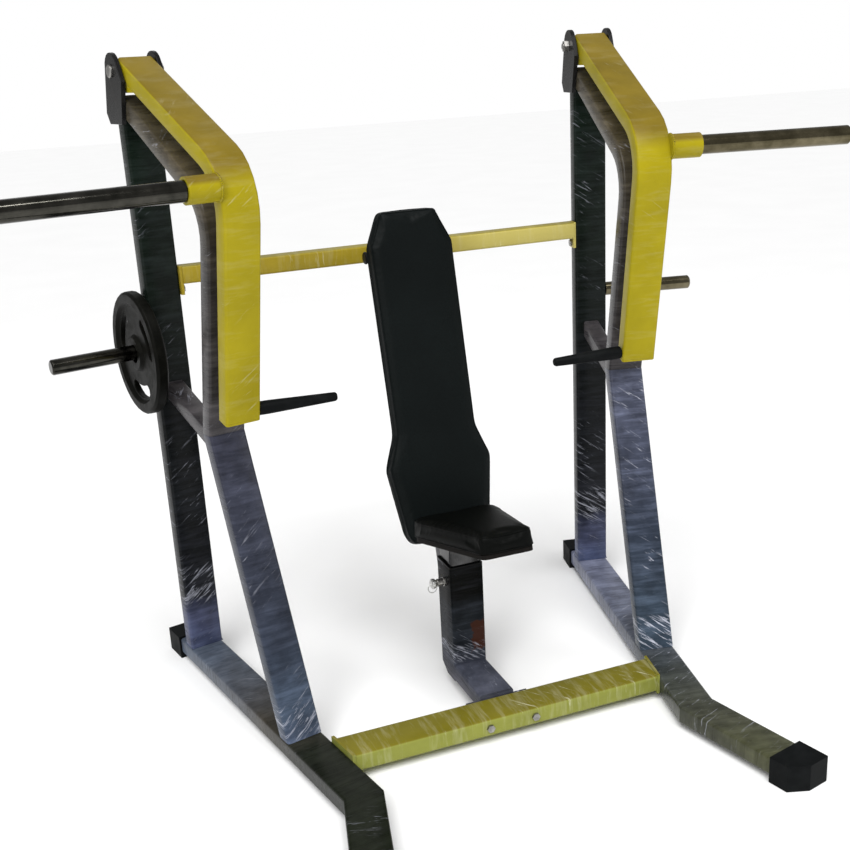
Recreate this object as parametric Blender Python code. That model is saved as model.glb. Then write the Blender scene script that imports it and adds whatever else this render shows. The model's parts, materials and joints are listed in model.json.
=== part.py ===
"""Plate-loaded chest press machine.

Two mirrored side frames toe in towards the front. Each carries a press arm that swings on a
shaft at the top of its upright, with a horn for weight plates and a handle. Two crossbeams join
the sides. The backrest is fixed, and the seat slides up and down on a pedestal.

Metres, +Z up. The front is -Y and X runs across. The origin is on the floor, at the centre of
the machine's bounding box.

Each side frame is drawn in its own axes: u runs forward from the upright, v runs outboard and z
runs up. Side +1 is the one at +X, side -1 is its mirror image.
"""
import math

import bmesh
import bpy
from mathutils import Matrix, Vector

# Clearances
GAP = 0.0003                 # between pieces that touch, and all round a shaft
CORNER_STEPS = 3
BEND_STEPS = 6
ROUND_STEPS = 24
SMALL_STEPS = 16
PLATE_STEPS = 36

# Layout of the two sides
SIDES = (("left_", -1), ("right_", 1))
HALF_SPACING = 0.673         # machine's centre plane to the middle of an upright
TOE_IN = math.radians(12.3)

# Frame tube
TUBE_WIDTH = 0.100
TUBE_DEPTH = 0.050
TUBE_WALL = 0.003
TUBE_CORNER = 0.007
UPRIGHT_TOP = 1.680

# Floor rail, flat on rubber boots
BOOT_SOLE = 0.016
BOOT_WALL = 0.006
BOOT_LENGTH = 0.085
REAR_BOOT_END = 0.010
FRONT_BOOT_END = 0.036
FRONT_BOOT_CHAMFER = 0.030
RAIL_REAR = -0.140
RAIL_BEND = 0.962
RAIL_SPLAY = math.radians(13.5)
RAIL_TOE_LENGTH = 0.336

# Bent top tube that becomes the front post, then the front leg under it
POST_TOP_HEIGHT = UPRIGHT_TOP + 0.004  # top face where it meets the upright
POST_SLOPE = math.atan(0.48)
POST_CORNER_U = 0.494
POST_BEND = 0.125
POST_LEAN = math.radians(14.1)
KNEE_FRONT_HEIGHT = UPRIGHT_TOP - 0.845  # front face, where the post meets the leg
LEG_LEAN = math.radians(20.9)
BRACE_SIZE = 0.050
BRACE_HEIGHT = KNEE_FRONT_HEIGHT + 0.045
BRACE_SLOPE = math.atan(0.30)

# Arm pivot
PIVOT_U = 0.010
PIVOT_HEIGHT = UPRIGHT_TOP + 0.065
SHAFT_DIAMETER = 0.020
SHAFT_HEAD_DIAMETER = SHAFT_DIAMETER + 0.014
SHAFT_HEAD_LENGTH = 0.008
NUT_FLATS = 1.5 * SHAFT_DIAMETER
NUT_LENGTH = 0.014
SHAFT_TAIL = 0.004
BEARING_DIAMETER = 2 * SHAFT_DIAMETER
BEARING_FLANGE_DIAMETER = BEARING_DIAMETER + 0.008
BEARING_LENGTH = 0.018
HUB_DIAMETER = BEARING_DIAMETER + 0.016
EAR_THICKNESS = 0.012
EAR_RADIUS = 0.046
EAR_REACH_FRONT = 0.077
EAR_REACH_REAR = 0.065
EAR_BOTTOM = UPRIGHT_TOP - 0.068

# Press arm
ARM_WIDTH = TUBE_WIDTH - 0.006
ARM_DEPTH = 0.050
ARM_REAR = 0.030
ARM_HEAD_BOTTOM = UPRIGHT_TOP + 0.010
ARM_SLOPE = math.atan(0.435)
ARM_CORNER_U = 0.598
ARM_CORNER_HEIGHT = PIVOT_HEIGHT - 0.2416
ARM_BEND = 0.135
ARM_TUCK = math.radians(13.0)
ARM_LOWER_LENGTH = 0.621
ARM_CAP_THICKNESS = 0.006
ARM_CAP_PLUG = 0.018

# Weight horn on the arm
HORN_U = 0.580
HORN_HEIGHT = ARM_CORNER_HEIGHT - 0.0214
HORN_DIAMETER = 0.050
HORN_WALL = 0.004
HORN_END = 0.540
BOSS_DIAMETER = HORN_DIAMETER + 0.014
BOSS_END = 0.1255

# Handle
HANDLE_HEIGHT = ARM_CORNER_HEIGHT - 0.5904
HANDLE_U = 0.465
HANDLE_LENGTH = 0.213
HANDLE_BAR_DIAMETER = 0.018
GRIP_BASE_DIAMETER = 0.036
GRIP_TIP_DIAMETER = 0.024
GRIP_END = 0.006

# Rubber stop between post and arm
BUMPER_HEIGHT = HANDLE_HEIGHT + 0.037
BUMPER_DIAMETER = 0.040

# Storage horn and the plate that hangs on it
STORE_U = 0.005
STORE_HEIGHT = 1.003
STORE_DIAMETER = HORN_DIAMETER - 0.0076
STORE_WALL = 0.003
STORE_END = 0.331
PLATE_SIDE = -1
PLATE_RADIUS = 0.172
PLATE_BORE = HORN_DIAMETER + 0.0006
PLATE_THICKNESS = 0.035
PLATE_WEB = 0.016
PLATE_HUB_RADIUS = 0.045
PLATE_RIM = 0.030
PLATE_INBOARD = 0.065
PLATE_SLOTS = 3
SLOT_RADIUS = 0.110
SLOT_LENGTH = 0.090
SLOT_WIDTH = 0.034

# Crossbeams
BEAM_FLANGE = 0.008
LOW_BEAM_REAR = -0.690
LOW_BEAM_WIDTH = 0.100
LOW_BEAM_BOTTOM = 0.024
HIGH_BEAM_BOTTOM = 1.175
HIGH_BEAM_SIZE = 0.050
HIGH_FLANGE_DROP = 0.030
BOLT_DIAMETER = 0.012
BOLT_HEAD = 0.020
BOLT_HEAD_LENGTH = 0.007
NUT_THICKNESS = 0.010
DRAIN_DIAMETER = 0.008       # hole under each beam, so that its inside is not sealed
DRAIN_X = 0.300

# Pedestal and seat post
PEDESTAL_REAR = -0.410
PEDESTAL_SIZE = 0.100
PEDESTAL_WALL = 0.003
PEDESTAL_BOTTOM = 0.035
PEDESTAL_TOP = 0.385
FOOT_DEPTH = 0.050
FOOT_FLANGE_WIDTH = PEDESTAL_SIZE + 0.080
FOOT_FLANGE_HEIGHT = 0.040
PEDESTAL_BOLT_X = PEDESTAL_SIZE / 2 + 0.016
BUSHING_WALL = 0.0032
BUSHING_DEPTH = 0.120
BUSHING_LIP = 0.004
SEAT_POST_WALL = 0.003
SEAT_POST_LENGTH = 0.375
SEAT_STEP = 0.040
SEAT_STEPS = 4
PIN_Y = PEDESTAL_REAR - PEDESTAL_SIZE / 2 - 0.007
PIN_HEIGHT = 0.334
PIN_DIAMETER = 0.010
PIN_HOUSING_DIAMETER = 0.022
PIN_HOUSING_LENGTH = 0.026
PIN_KNOB_DIAMETER = 0.030

# Seat
SEAT_TILT = math.radians(11.6)
SEAT_FRONT_Y = -0.790
SEAT_FRONT_HEIGHT = 0.603
SEAT_LENGTH = 0.382
SEAT_FRONT_HALF = 0.078
SEAT_REAR_HALF = 0.128
PAD_THICKNESS = 0.055
BOARD_THICKNESS = 0.012
BOARD_INSET = 0.006
SEAT_PLATE_WIDTH = PEDESTAL_SIZE + 0.010
SEAT_PLATE_LENGTH = 0.200
PLATE_STOCK = 0.006          # steel plates that the pads are screwed to
SEAT_PLATE_LIP = 0.003       # behind the post

# Backrest
BACK_TOP_Y = -0.197
BACK_TOP_HEIGHT = 1.344
BACK_RECLINE = math.radians(13.4)
BACK_LENGTH = 0.940
BACK_SHOULDER = 0.097        # distance below the top edge at which the pad is at full width
BACK_WAIST = 0.620
BACK_HIPS = 0.7155
BACK_TOP_HALF = 0.083
BACK_SHOULDER_HALF = 0.126
BACK_WAIST_HALF = 0.123
BACK_HIPS_HALF = 0.158
BACK_BOTTOM_HALF = 0.120
BACK_BOTTOM_ROUND = 0.030
BACK_PAD_THICKNESS = 0.042
BACK_BOARD_INSET = 0.012
SPINE_WIDTH = 0.040
SPINE_DEPTH = 0.050
SPINE_START = 0.060          # distance of the spine's top below the pad's top edge
SPINE_BOTTOM = 0.100
SPINE_PLATE_WIDTH = 0.150
CROSS_TUBE_DIAMETER = 0.032
CROSS_TUBE_HALF = 0.094
CROSS_PLUG_DIAMETER = 0.036
CROSS_PLUG_LENGTH = 0.008
STANDOFF_SIZE = 0.040
SCREW_DIAMETER = 0.008
SCREW_BITE = 0.008

MATERIALS = {
    "frame_paint": ((0.020, 0.024, 0.033, 1), 0.32, 0.0),
    "arm_paint": ((0.48, 0.44, 0.04, 1), 0.35, 0.0),
    "bright_steel": ((0.42, 0.40, 0.38, 1), 0.22, 1.0),
    "rubber": ((0.012, 0.012, 0.012, 1), 0.75, 0.0),
    "vinyl": ((0.014, 0.014, 0.016, 1), 0.50, 0.0),
    "plastic": ((0.016, 0.016, 0.017, 1), 0.45, 0.0),
    "board": ((0.11, 0.075, 0.045, 1), 0.80, 0.0),
}


def material(name):
    """The shared material of that name, made on first use."""
    found = bpy.data.materials.get(name)
    if found:
        return found
    colour, roughness, metallic = MATERIALS[name]
    made = bpy.data.materials.new(name)
    made.use_nodes = True
    shader = made.node_tree.nodes["Principled BSDF"]
    shader.inputs["Base Color"].default_value = colour
    shader.inputs["Roughness"].default_value = roughness
    shader.inputs["Metallic"].default_value = metallic
    return made


def new_object(name, shape, look, parent=None):
    """Turns a bmesh into a named object with its faces pointing out."""
    bmesh.ops.recalc_face_normals(shape, faces=shape.faces)
    mesh = bpy.data.meshes.new(name)
    shape.to_mesh(mesh)
    shape.free()
    mesh.materials.append(material(look))
    mesh.shade_smooth()
    mesh.set_sharp_from_angle(angle=math.radians(32))
    made = bpy.data.objects.new(name, mesh)
    bpy.context.collection.objects.link(made)
    made.parent = parent
    return made


def combine(base, tool_shape, operation):
    """Joins a shape to the base object, cuts it away, or keeps what both share."""
    tool = new_object("tool", tool_shape, base.data.materials[0].name, base.parent)
    step = base.modifiers.new("combine", "BOOLEAN")
    step.operation = operation
    step.solver = "EXACT"
    step.object = tool
    graph = bpy.context.evaluated_depsgraph_get()
    mesh = bpy.data.meshes.new_from_object(base.evaluated_get(graph))
    old = base.data
    base.modifiers.clear()
    base.data = mesh
    mesh.name = old.name
    bpy.data.meshes.remove(old)
    old_tool = tool.data
    bpy.data.objects.remove(tool)
    bpy.data.meshes.remove(old_tool)
    mesh.shade_smooth()
    mesh.set_sharp_from_angle(angle=math.radians(32))


def empty(name, parent, location, turn=0.0, axis="Z"):
    """An unseen anchor that its children are placed from."""
    made = bpy.data.objects.new(name, None)
    bpy.context.collection.objects.link(made)
    made.parent = parent
    made.location = location
    made.rotation_euler = Matrix.Rotation(turn, 3, axis).to_euler()
    return made


def left_of(direction):
    """A 2-D direction turned a quarter turn anticlockwise."""
    return Vector((-direction.y, direction.x))


def heading(angle):
    """The 2-D direction at an angle from the first axis."""
    return Vector((math.cos(angle), math.sin(angle)))


def turned_by(vector, angle):
    """A 2-D vector turned anticlockwise by an angle."""
    return Vector((vector.x * math.cos(angle) - vector.y * math.sin(angle),
                   vector.x * math.sin(angle) + vector.y * math.cos(angle)))


def meeting_point(point, direction, other_point, other_direction):
    """Where two lines in a plane cross."""
    side = left_of(other_direction)
    reach = (Vector(other_point) - Vector(point)).dot(side) / direction.dot(side)
    return Vector(point) + direction * reach


def rounded_rectangle(width, depth, radius, steps=CORNER_STEPS):
    """Points round a rectangle with round corners, as (across, deep) pairs."""
    points = []
    for quarter, (right, front) in enumerate(((1, 1), (-1, 1), (-1, -1), (1, -1))):
        for step in range(steps + 1):
            angle = math.radians(90) * (quarter + step / steps)
            points.append((right * (width / 2 - radius) + radius * math.cos(angle),
                           front * (depth / 2 - radius) + radius * math.sin(angle)))
    return points


def rectangle(width, depth):
    """The four corners of a rectangle, in the order that rounded_rectangle follows."""
    return [(right * width / 2, front * depth / 2)
            for right, front in ((1, 1), (-1, 1), (-1, -1), (1, -1))]


def circle(radius, steps=ROUND_STEPS):
    """Points round a circle."""
    return [tuple(radius * heading(math.tau * step / steps)) for step in range(steps)]


def arc(centre, radius, start, end, steps):
    """Points along an arc, both ends included."""
    return [tuple(Vector(centre) + radius * heading(start + (end - start) * step / steps))
            for step in range(steps + 1)]


def stations(corners, first_cut=None, last_cut=None):
    """Cross-sections along a bent centre line in a plane.

    Each corner is (x, y, bend radius), and a radius of 0 makes a mitre. A cut is the direction
    of a slanted end. Each result is (centre, span), the span being what one unit of the
    section's depth becomes there.
    """
    points = [Vector(corner[:2]) for corner in corners]
    runs = [(after - before).normalized() for before, after in zip(points, points[1:])]

    def end_span(run, cut):
        side = left_of(run)
        return side if cut is None else Vector(cut) / Vector(cut).dot(side)

    result = [(points[0], end_span(runs[0], first_cut))]
    for point, corner, before, after in zip(points[1:-1], corners[1:-1], runs, runs[1:]):
        turn = math.atan2(before.cross(after), before.dot(after))
        if corner[2] == 0:
            result.append((point, turned_by(left_of(before), turn / 2) / math.cos(turn / 2)))
            continue
        inner_side = left_of(before) * math.copysign(1, turn)
        centre = point - before * corner[2] * math.tan(abs(turn) / 2) + inner_side * corner[2]
        for step in range(BEND_STEPS + 1):
            angle = turn * step / BEND_STEPS
            result.append((centre - turned_by(inner_side, angle) * corner[2],
                           turned_by(left_of(before), angle)))
    result.append((points[-1], end_span(runs[-1], last_cut)))
    return result


def ring(shape, section, station, place):
    """Adds one cross-section's vertices."""
    centre, span = station
    spots = [(centre + span * deep, across) for across, deep in section]
    return [shape.verts.new(place(spot.x, spot.y, across)) for spot, across in spots]


def skin(shape, before, after):
    """Faces between two rings. The second may have fewer points, shared out evenly."""
    share = len(after) / len(before)
    for index in range(len(before)):
        following = (index + 1) % len(before)
        corners = (before[index], before[following],
                   after[int(following * share)], after[int(index * share)])
        shape.faces.new(dict.fromkeys(corners))


def upright_plane(x, y, across):
    """Plane of u and z, with the section's width along v."""
    return Vector((x, across, y))


def floor_plane(x, y, across):
    """Plane of the floor, with the section's width along z."""
    return Vector((x, y, across))


def bar(section, path, place=upright_plane):
    """A solid bar along a path of stations."""
    shape = bmesh.new()
    rings = [ring(shape, section, station, place) for station in path]
    for before, after in zip(rings, rings[1:]):
        skin(shape, before, after)
    shape.faces.new(rings[0])
    shape.faces.new(rings[-1])
    return shape


def hollow_bar(outer, inner, path, place=upright_plane):
    """A tube, open at both ends, from its outer and inner sections."""
    shape = bmesh.new()
    shells = [[ring(shape, section, station, place) for station in path] for section in (outer, inner)]
    for rings in shells:
        for before, after in zip(rings, rings[1:]):
            skin(shape, before, after)
    skin(shape, shells[0][0], shells[1][0])
    skin(shape, shells[0][-1], shells[1][-1])
    return shape


def box_tube(path, width=TUBE_WIDTH, depth=TUBE_DEPTH, wall=TUBE_WALL, place=upright_plane):
    """A rectangular steel tube with round corners."""
    outer = rounded_rectangle(width, depth, TUBE_CORNER)
    return hollow_bar(outer, rectangle(width - 2 * wall, depth - 2 * wall), path, place)


def block(low, high):
    """A plain box between two corners."""
    size = Vector(high) - Vector(low)
    middle = (Vector(high) + Vector(low)) / 2
    shape = bmesh.new()
    bmesh.ops.create_cube(shape, size=1)
    bmesh.ops.transform(shape, matrix=Matrix.Translation(middle) @ Matrix.Diagonal((*size, 1)),
                        verts=shape.verts)
    return shape


def slab(outline, low, high, place=upright_plane):
    """An outline in the plane, made solid from one height to another across it."""
    shape = bmesh.new()
    rings = [[shape.verts.new(place(x, y, across)) for x, y in outline] for across in (low, high)]
    skin(shape, *rings)
    shape.faces.new(rings[0])
    shape.faces.new(rings[1])
    return shape


def lathe(profile, origin, direction, steps=ROUND_STEPS):
    """Turns a profile of (radius, distance) pairs about an axis.

    The profile is a closed loop. A stretch that runs along the axis itself makes no faces.
    """
    shape = bmesh.new()
    rings = []
    for radius, distance in profile:
        if radius == 0:
            rings.append([shape.verts.new((0, 0, distance))] * steps)
        else:
            rings.append([shape.verts.new((x, y, distance)) for x, y in circle(radius, steps)])
    for before, after in zip(rings, rings[1:] + rings[:1]):
        on_axis = before[0] is before[1] and after[0] is after[1]
        if not on_axis:
            skin(shape, before, after)
    aim = Vector((0, 0, 1)).rotation_difference(Vector(direction)).to_matrix().to_4x4()
    bmesh.ops.transform(shape, matrix=Matrix.Translation(origin) @ aim, verts=shape.verts)
    return shape


def rod(radius, low, high, origin, direction, steps=ROUND_STEPS):
    """A plain cylinder between two distances along an axis."""
    return lathe([(0, low), (radius, low), (radius, high), (0, high)], origin, direction, steps)


def hex_nut(shape, flats, bore, thickness, origin, direction):
    """Adds a hex nut with a clearance hole, starting at the origin."""
    aim = Vector((0, 0, 1)).rotation_difference(direction).to_matrix().to_4x4()
    place = Matrix.Translation(origin) @ aim
    loops = []
    for distance in (0, thickness):
        hexagon = [Vector((*spot, distance)) for spot in circle(flats / math.sqrt(3), 6)]
        corners = []
        for before, after in zip(hexagon, hexagon[1:] + hexagon[:1]):
            corners += [before, (before + after) / 2]
        hole = [Vector((*spot, distance)) for spot in circle(bore / math.cos(math.pi / 12), 12)]
        loops += [[shape.verts.new(place @ spot) for spot in spots] for spots in (corners, hole)]
    outer_low, inner_low, outer_high, inner_high = loops
    skin(shape, outer_low, outer_high)
    skin(shape, inner_low, inner_high)
    skin(shape, outer_low, inner_low)
    skin(shape, outer_high, inner_high)


def bolt(name, length, origin, direction, parent):
    """A hex-head frame bolt. Its head sits behind the origin and its shank in front."""
    aim = Vector((0, 0, 1)).rotation_difference(Vector(direction)).to_matrix().to_4x4()
    place = Matrix.Translation(origin) @ aim
    shape = bmesh.new()
    head = []
    for distance in (-BOLT_HEAD_LENGTH, 0):
        spots = circle(BOLT_HEAD / math.sqrt(3), 6)
        head.append([shape.verts.new(place @ Vector((*spot, distance))) for spot in spots])
    shank = []
    for distance in (0, length):
        spots = circle(BOLT_DIAMETER / 2, 12)
        shank.append([shape.verts.new(place @ Vector((*spot, distance))) for spot in spots])
    skin(shape, *head)
    skin(shape, *shank)
    shape.faces.new(head[0])
    shape.faces.new(shank[1])
    skin(shape, shank[0], head[1])
    return new_object(name, shape, "bright_steel", parent)


def grown(outline, amount):
    """An outline of a convex or nearly convex shape, moved out by an amount."""
    points = [Vector(point) for point in outline]
    result = []
    for before, point, after in zip(points[-1:] + points, points, points[1:] + points[:1]):
        first = -left_of((point - before).normalized())
        second = -left_of((after - point).normalized())
        result.append(tuple(point + (first + second) * amount / (1 + first.dot(second))))
    return result


# ---------------------------------------------------------------- side frame

RAIL_BOTTOM = BOOT_SOLE
RAIL_TOP = RAIL_BOTTOM + TUBE_DEPTH
UPRIGHT_FRONT = TUBE_DEPTH / 2
SIDE_FACE = TUBE_WIDTH / 2
RAIL_TURN = RAIL_SPLAY + TOE_IN
POST_DOWN = heading(-math.pi / 2 - POST_LEAN)
POST_OUT = heading(-POST_LEAN)
LEG_DOWN = heading(-math.pi / 2 + LEG_LEAN)
ARM_DOWN = heading(-math.pi / 2 - ARM_TUCK)
ARM_OUT = heading(-ARM_TUCK)
PIVOT = (PIVOT_U, 0, PIVOT_HEIGHT)
POST_START = Vector((UPRIGHT_FRONT + GAP,
                     POST_TOP_HEIGHT - TUBE_DEPTH / 2 / math.cos(POST_SLOPE)))
POST_CORNER = meeting_point(POST_START, heading(-POST_SLOPE), (POST_CORNER_U, 0), Vector((0, 1)))
KNEE = meeting_point(POST_CORNER + POST_OUT * TUBE_DEPTH / 2, POST_DOWN,
                     (0, KNEE_FRONT_HEIGHT), Vector((1, 0)))
KNEE_CUT = (LEG_DOWN - POST_DOWN).normalized()
LEG_OUT = left_of(LEG_DOWN)


def boot(name, parent, end_wall, chamfer):
    """A rubber cup over a rail end, thick under it. Local x runs out along the rail."""
    outer_half = SIDE_FACE + GAP + BOOT_WALL
    inner_half = SIDE_FACE + GAP
    closed_end = GAP + end_wall
    open_end = closed_end - BOOT_LENGTH
    outline = [(open_end, -outer_half), (closed_end - chamfer, -outer_half),
               (closed_end, -outer_half + chamfer * 1.6), (closed_end, outer_half),
               (open_end, outer_half)]
    if chamfer == 0:
        outline.pop(1)
    made = new_object(name, slab(outline, 0, RAIL_TOP + GAP + BOOT_WALL, floor_plane), "rubber", parent)
    pocket = bar(rounded_rectangle(TUBE_DEPTH + 2 * GAP, 2 * inner_half, TUBE_CORNER),
                 stations([(open_end - 0.01, 0, 0), (GAP, 0, 0)]), floor_plane)
    bmesh.ops.translate(pocket, vec=(0, 0, RAIL_BOTTOM + TUBE_DEPTH / 2), verts=pocket.verts)
    combine(made, pocket, "DIFFERENCE")
    return made


def rail_and_boots(prefix, side, anchor):
    """The floor rail with its splayed toe, and a boot on each end."""
    toe = heading(RAIL_TURN) * RAIL_TOE_LENGTH
    path = stations([(RAIL_REAR, 0, 0), (RAIL_BEND, 0, 0), (RAIL_BEND + toe.x, side * toe.y, 0)])
    shape = box_tube(path, TUBE_DEPTH, TUBE_WIDTH, place=floor_plane)
    middle = RAIL_BOTTOM + TUBE_DEPTH / 2
    bmesh.ops.translate(shape, vec=(0, 0, middle), verts=shape.verts)
    new_object(prefix + "rail", shape, "frame_paint", anchor)
    front = boot(prefix + "front_boot", anchor, FRONT_BOOT_END, FRONT_BOOT_CHAMFER)
    tip = Matrix.Translation((RAIL_BEND + toe.x, side * toe.y, 0))
    mirror = Matrix.Diagonal((1, side, 1, 1))
    front.data.transform(tip @ Matrix.Rotation(side * RAIL_TURN, 4, "Z") @ mirror)
    if side < 0:
        front.data.flip_normals()
    rear = boot(prefix + "rear_boot", anchor, REAR_BOOT_END, 0)
    rear.data.transform(Matrix.Translation((RAIL_REAR, 0, 0)) @ Matrix.Rotation(math.pi, 4, "Z"))


def frame_tubes(prefix, anchor):
    """Upright, bent top tube with its front post, front leg and brace."""
    rise = [(0, RAIL_TOP + GAP, 0), (0, UPRIGHT_TOP, 0)]
    new_object(prefix + "upright", box_tube(stations(rise)), "frame_paint", anchor)
    end = meeting_point(POST_CORNER, POST_DOWN, KNEE, KNEE_CUT)
    post = stations([(*POST_START, 0), (*POST_CORNER, POST_BEND), (*end, 0)],
                    (0, 1), tuple(KNEE_CUT))
    new_object(prefix + "top_post", box_tube(post), "frame_paint", anchor)
    leg_middle = KNEE - LEG_OUT * TUBE_DEPTH / 2
    start = meeting_point(leg_middle, LEG_DOWN, KNEE + LEG_DOWN * GAP, KNEE_CUT)
    foot = meeting_point(leg_middle, LEG_DOWN, (0, RAIL_TOP + GAP), Vector((1, 0)))
    leg = stations([(*start, 0), (*foot, 0)], tuple(KNEE_CUT), (1, 0))
    new_object(prefix + "front_leg", box_tube(leg), "frame_paint", anchor)
    brace_start = Vector((UPRIGHT_FRONT + GAP, BRACE_HEIGHT))
    leg_rear = KNEE - LEG_OUT * (TUBE_DEPTH + GAP)
    brace_end = meeting_point(brace_start, heading(-BRACE_SLOPE), leg_rear, LEG_DOWN)
    brace = stations([(*brace_start, 0), (*brace_end, 0)], (0, 1), tuple(-LEG_DOWN))
    new_object(prefix + "brace", box_tube(brace, BRACE_SIZE, BRACE_SIZE), "frame_paint", anchor)


def ears(prefix, side, anchor):
    """The two plates on the upright's sides that hold the pivot shaft."""
    outline = [(-UPRIGHT_FRONT - 0.02, EAR_BOTTOM), (0.045, EAR_BOTTOM),
               (EAR_REACH_FRONT, PIVOT_HEIGHT - 0.028)]
    outline += arc((PIVOT_U, PIVOT_HEIGHT), EAR_RADIUS, math.radians(25), math.radians(150), 8)
    outline += [(-EAR_REACH_REAR, PIVOT_HEIGHT - 0.105)]
    for place, direction in (("outer_ear", side), ("inner_ear", -side)):
        near = direction * (SIDE_FACE + GAP)
        far = direction * (SIDE_FACE + GAP + EAR_THICKNESS)
        plate = new_object(prefix + place, slab(outline, near, far), "plastic", anchor)
        hole = rod(SHAFT_DIAMETER / 2 + GAP, -0.1, 0.1, PIVOT, (0, 1, 0), SMALL_STEPS)
        combine(plate, hole, "DIFFERENCE")


def pivot(prefix, side, anchor):
    """The shaft with its head outboard and its nut inboard."""
    outside = SIDE_FACE + EAR_THICKNESS + 2 * GAP
    radius = SHAFT_DIAMETER / 2
    head = SHAFT_HEAD_DIAMETER / 2
    tail = outside + NUT_LENGTH + SHAFT_TAIL
    profile = [(0, -tail), (radius * 0.85, -tail), (radius, -tail + 0.002), (radius, outside),
               (head, outside), (head, outside + SHAFT_HEAD_LENGTH * 0.6),
               (head * 0.8, outside + SHAFT_HEAD_LENGTH), (0, outside + SHAFT_HEAD_LENGTH)]
    shaft = lathe(profile, PIVOT, (0, side, 0), SMALL_STEPS)
    new_object(prefix + "pivot_shaft", shaft, "bright_steel", anchor)
    nut = bmesh.new()
    start = Vector(PIVOT) - Vector((0, side * outside, 0))
    hex_nut(nut, NUT_FLATS, radius + GAP, NUT_LENGTH, start, Vector((0, -side, 0)))
    new_object(prefix + "pivot_nut", nut, "bright_steel", anchor)


def bearings(prefix, side, anchor):
    """A flanged bush in each end of the arm's hub."""
    face = ARM_WIDTH / 2
    bore = SHAFT_DIAMETER / 2 + GAP
    body = BEARING_DIAMETER / 2
    flange = BEARING_FLANGE_DIAMETER / 2
    profile = [(bore, face - BEARING_LENGTH), (body, face - BEARING_LENGTH), (body, face + GAP),
               (flange, face + GAP), (flange, SIDE_FACE), (bore, SIDE_FACE)]
    for place, direction in (("outer_bearing", side), ("inner_bearing", -side)):
        bush = lathe(profile, (0, 0, 0), (0, direction, 0), SMALL_STEPS)
        new_object(prefix + place, bush, "bright_steel", anchor)


def from_pivot(point):
    """A point of the side frame's plane, measured from the pivot."""
    return Vector(point) - Vector((PIVOT_U, PIVOT_HEIGHT))


def press_arm(prefix, side, anchor):
    """The bent arm with its hub, head, horn boss and handle bar. The anchor is on the pivot."""
    corner = from_pivot((ARM_CORNER_U, ARM_CORNER_HEIGHT))
    rear = meeting_point(corner, heading(-ARM_SLOPE), from_pivot((ARM_REAR, 0)), Vector((0, 1)))
    end = corner + ARM_DOWN * ARM_LOWER_LENGTH
    outer = rounded_rectangle(ARM_WIDTH, ARM_DEPTH, TUBE_CORNER)
    inner = rectangle(ARM_WIDTH - 2 * TUBE_WALL, ARM_DEPTH - 2 * TUBE_WALL)
    path = stations([(*rear, 0), (*corner, ARM_BEND), (*end, 0)], (0, 1))
    arm = new_object(prefix + "press_arm", bar(outer, path), "arm_paint", anchor)

    underside = rear - left_of(heading(-ARM_SLOPE)) * ARM_DEPTH / 2
    head_bottom = from_pivot((ARM_REAR, ARM_HEAD_BOTTOM))
    head_front = meeting_point(underside, heading(-ARM_SLOPE), head_bottom, Vector((1, 0)))
    head = [tuple(head_bottom), tuple(head_front), tuple(head_front + Vector((0, 0.020))),
            tuple(head_bottom + Vector((0, 0.050)))]
    half = ARM_WIDTH / 2
    combine(arm, slab(head, -half + 0.001, half - 0.001), "UNION")
    hub_bore = BEARING_DIAMETER / 2 + GAP
    hub = rod(HUB_DIAMETER / 2, -half, half, (0, 0, 0), (0, 1, 0), SMALL_STEPS)
    combine(arm, hub, "UNION")

    boss_at = from_pivot((HORN_U, HORN_HEIGHT))
    boss_place = (boss_at.x, 0, boss_at.y)
    out = (0, side, 0)
    combine(arm, rod(BOSS_DIAMETER / 2, half - 0.004, BOSS_END, boss_place, out), "UNION")
    socket = rod(HORN_DIAMETER / 2 + GAP, half + GAP, BOSS_END + 0.01, boss_place, out)
    combine(arm, socket, "DIFFERENCE")

    handle_at = from_pivot((HANDLE_U, HANDLE_HEIGHT))
    inward = Vector((math.sin(TOE_IN), -side * math.cos(TOE_IN), 0))
    handle_start = Vector((handle_at.x, -side * half, handle_at.y))
    tip = HANDLE_LENGTH - GRIP_END - GAP
    handle_bar = rod(HANDLE_BAR_DIAMETER / 2, -0.010, tip, handle_start, inward, SMALL_STEPS)
    combine(arm, handle_bar, "UNION")

    hollow_start = rear + heading(-ARM_SLOPE) * 0.012
    cavity = stations([(*hollow_start, 0), (*corner, ARM_BEND), (*(end + ARM_DOWN * 0.01), 0)], (0, 1))
    combine(arm, bar(inner, cavity), "DIFFERENCE")
    combine(arm, rod(hub_bore, -0.1, 0.1, (0, 0, 0), (0, 1, 0), SMALL_STEPS), "DIFFERENCE")

    cap_top = end + ARM_DOWN * GAP
    cap_end = cap_top + ARM_DOWN * ARM_CAP_THICKNESS
    cap = new_object(prefix + "arm_end_cap",
                     bar(outer, stations([(*cap_top, 0), (*cap_end, 0)])), "arm_paint", anchor)
    plug = rectangle(ARM_WIDTH - 2 * (TUBE_WALL + GAP), ARM_DEPTH - 2 * (TUBE_WALL + GAP))
    plug_top = cap_top - ARM_DOWN * ARM_CAP_PLUG
    combine(cap, bar(plug, stations([(*plug_top, 0), (*(cap_top + ARM_DOWN * 0.003), 0)])), "UNION")
    horn(prefix + "weight_horn", anchor, boss_place, side, half + 2 * GAP, HORN_END,
         HORN_DIAMETER / 2, HORN_WALL)
    grip(prefix, anchor, handle_start, inward)


def horn(name, anchor, place, side, start, end, radius, wall):
    """A bright tube closed at its outer end, along v."""
    chamfer = 0.004
    bore = radius - wall
    profile = [(bore, start), (radius, start), (radius, end - chamfer), (radius - chamfer, end),
               (0, end), (0, end - wall), (bore, end - wall)]
    return new_object(name, lathe(profile, place, (0, side, 0)), "bright_steel", anchor)


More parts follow.
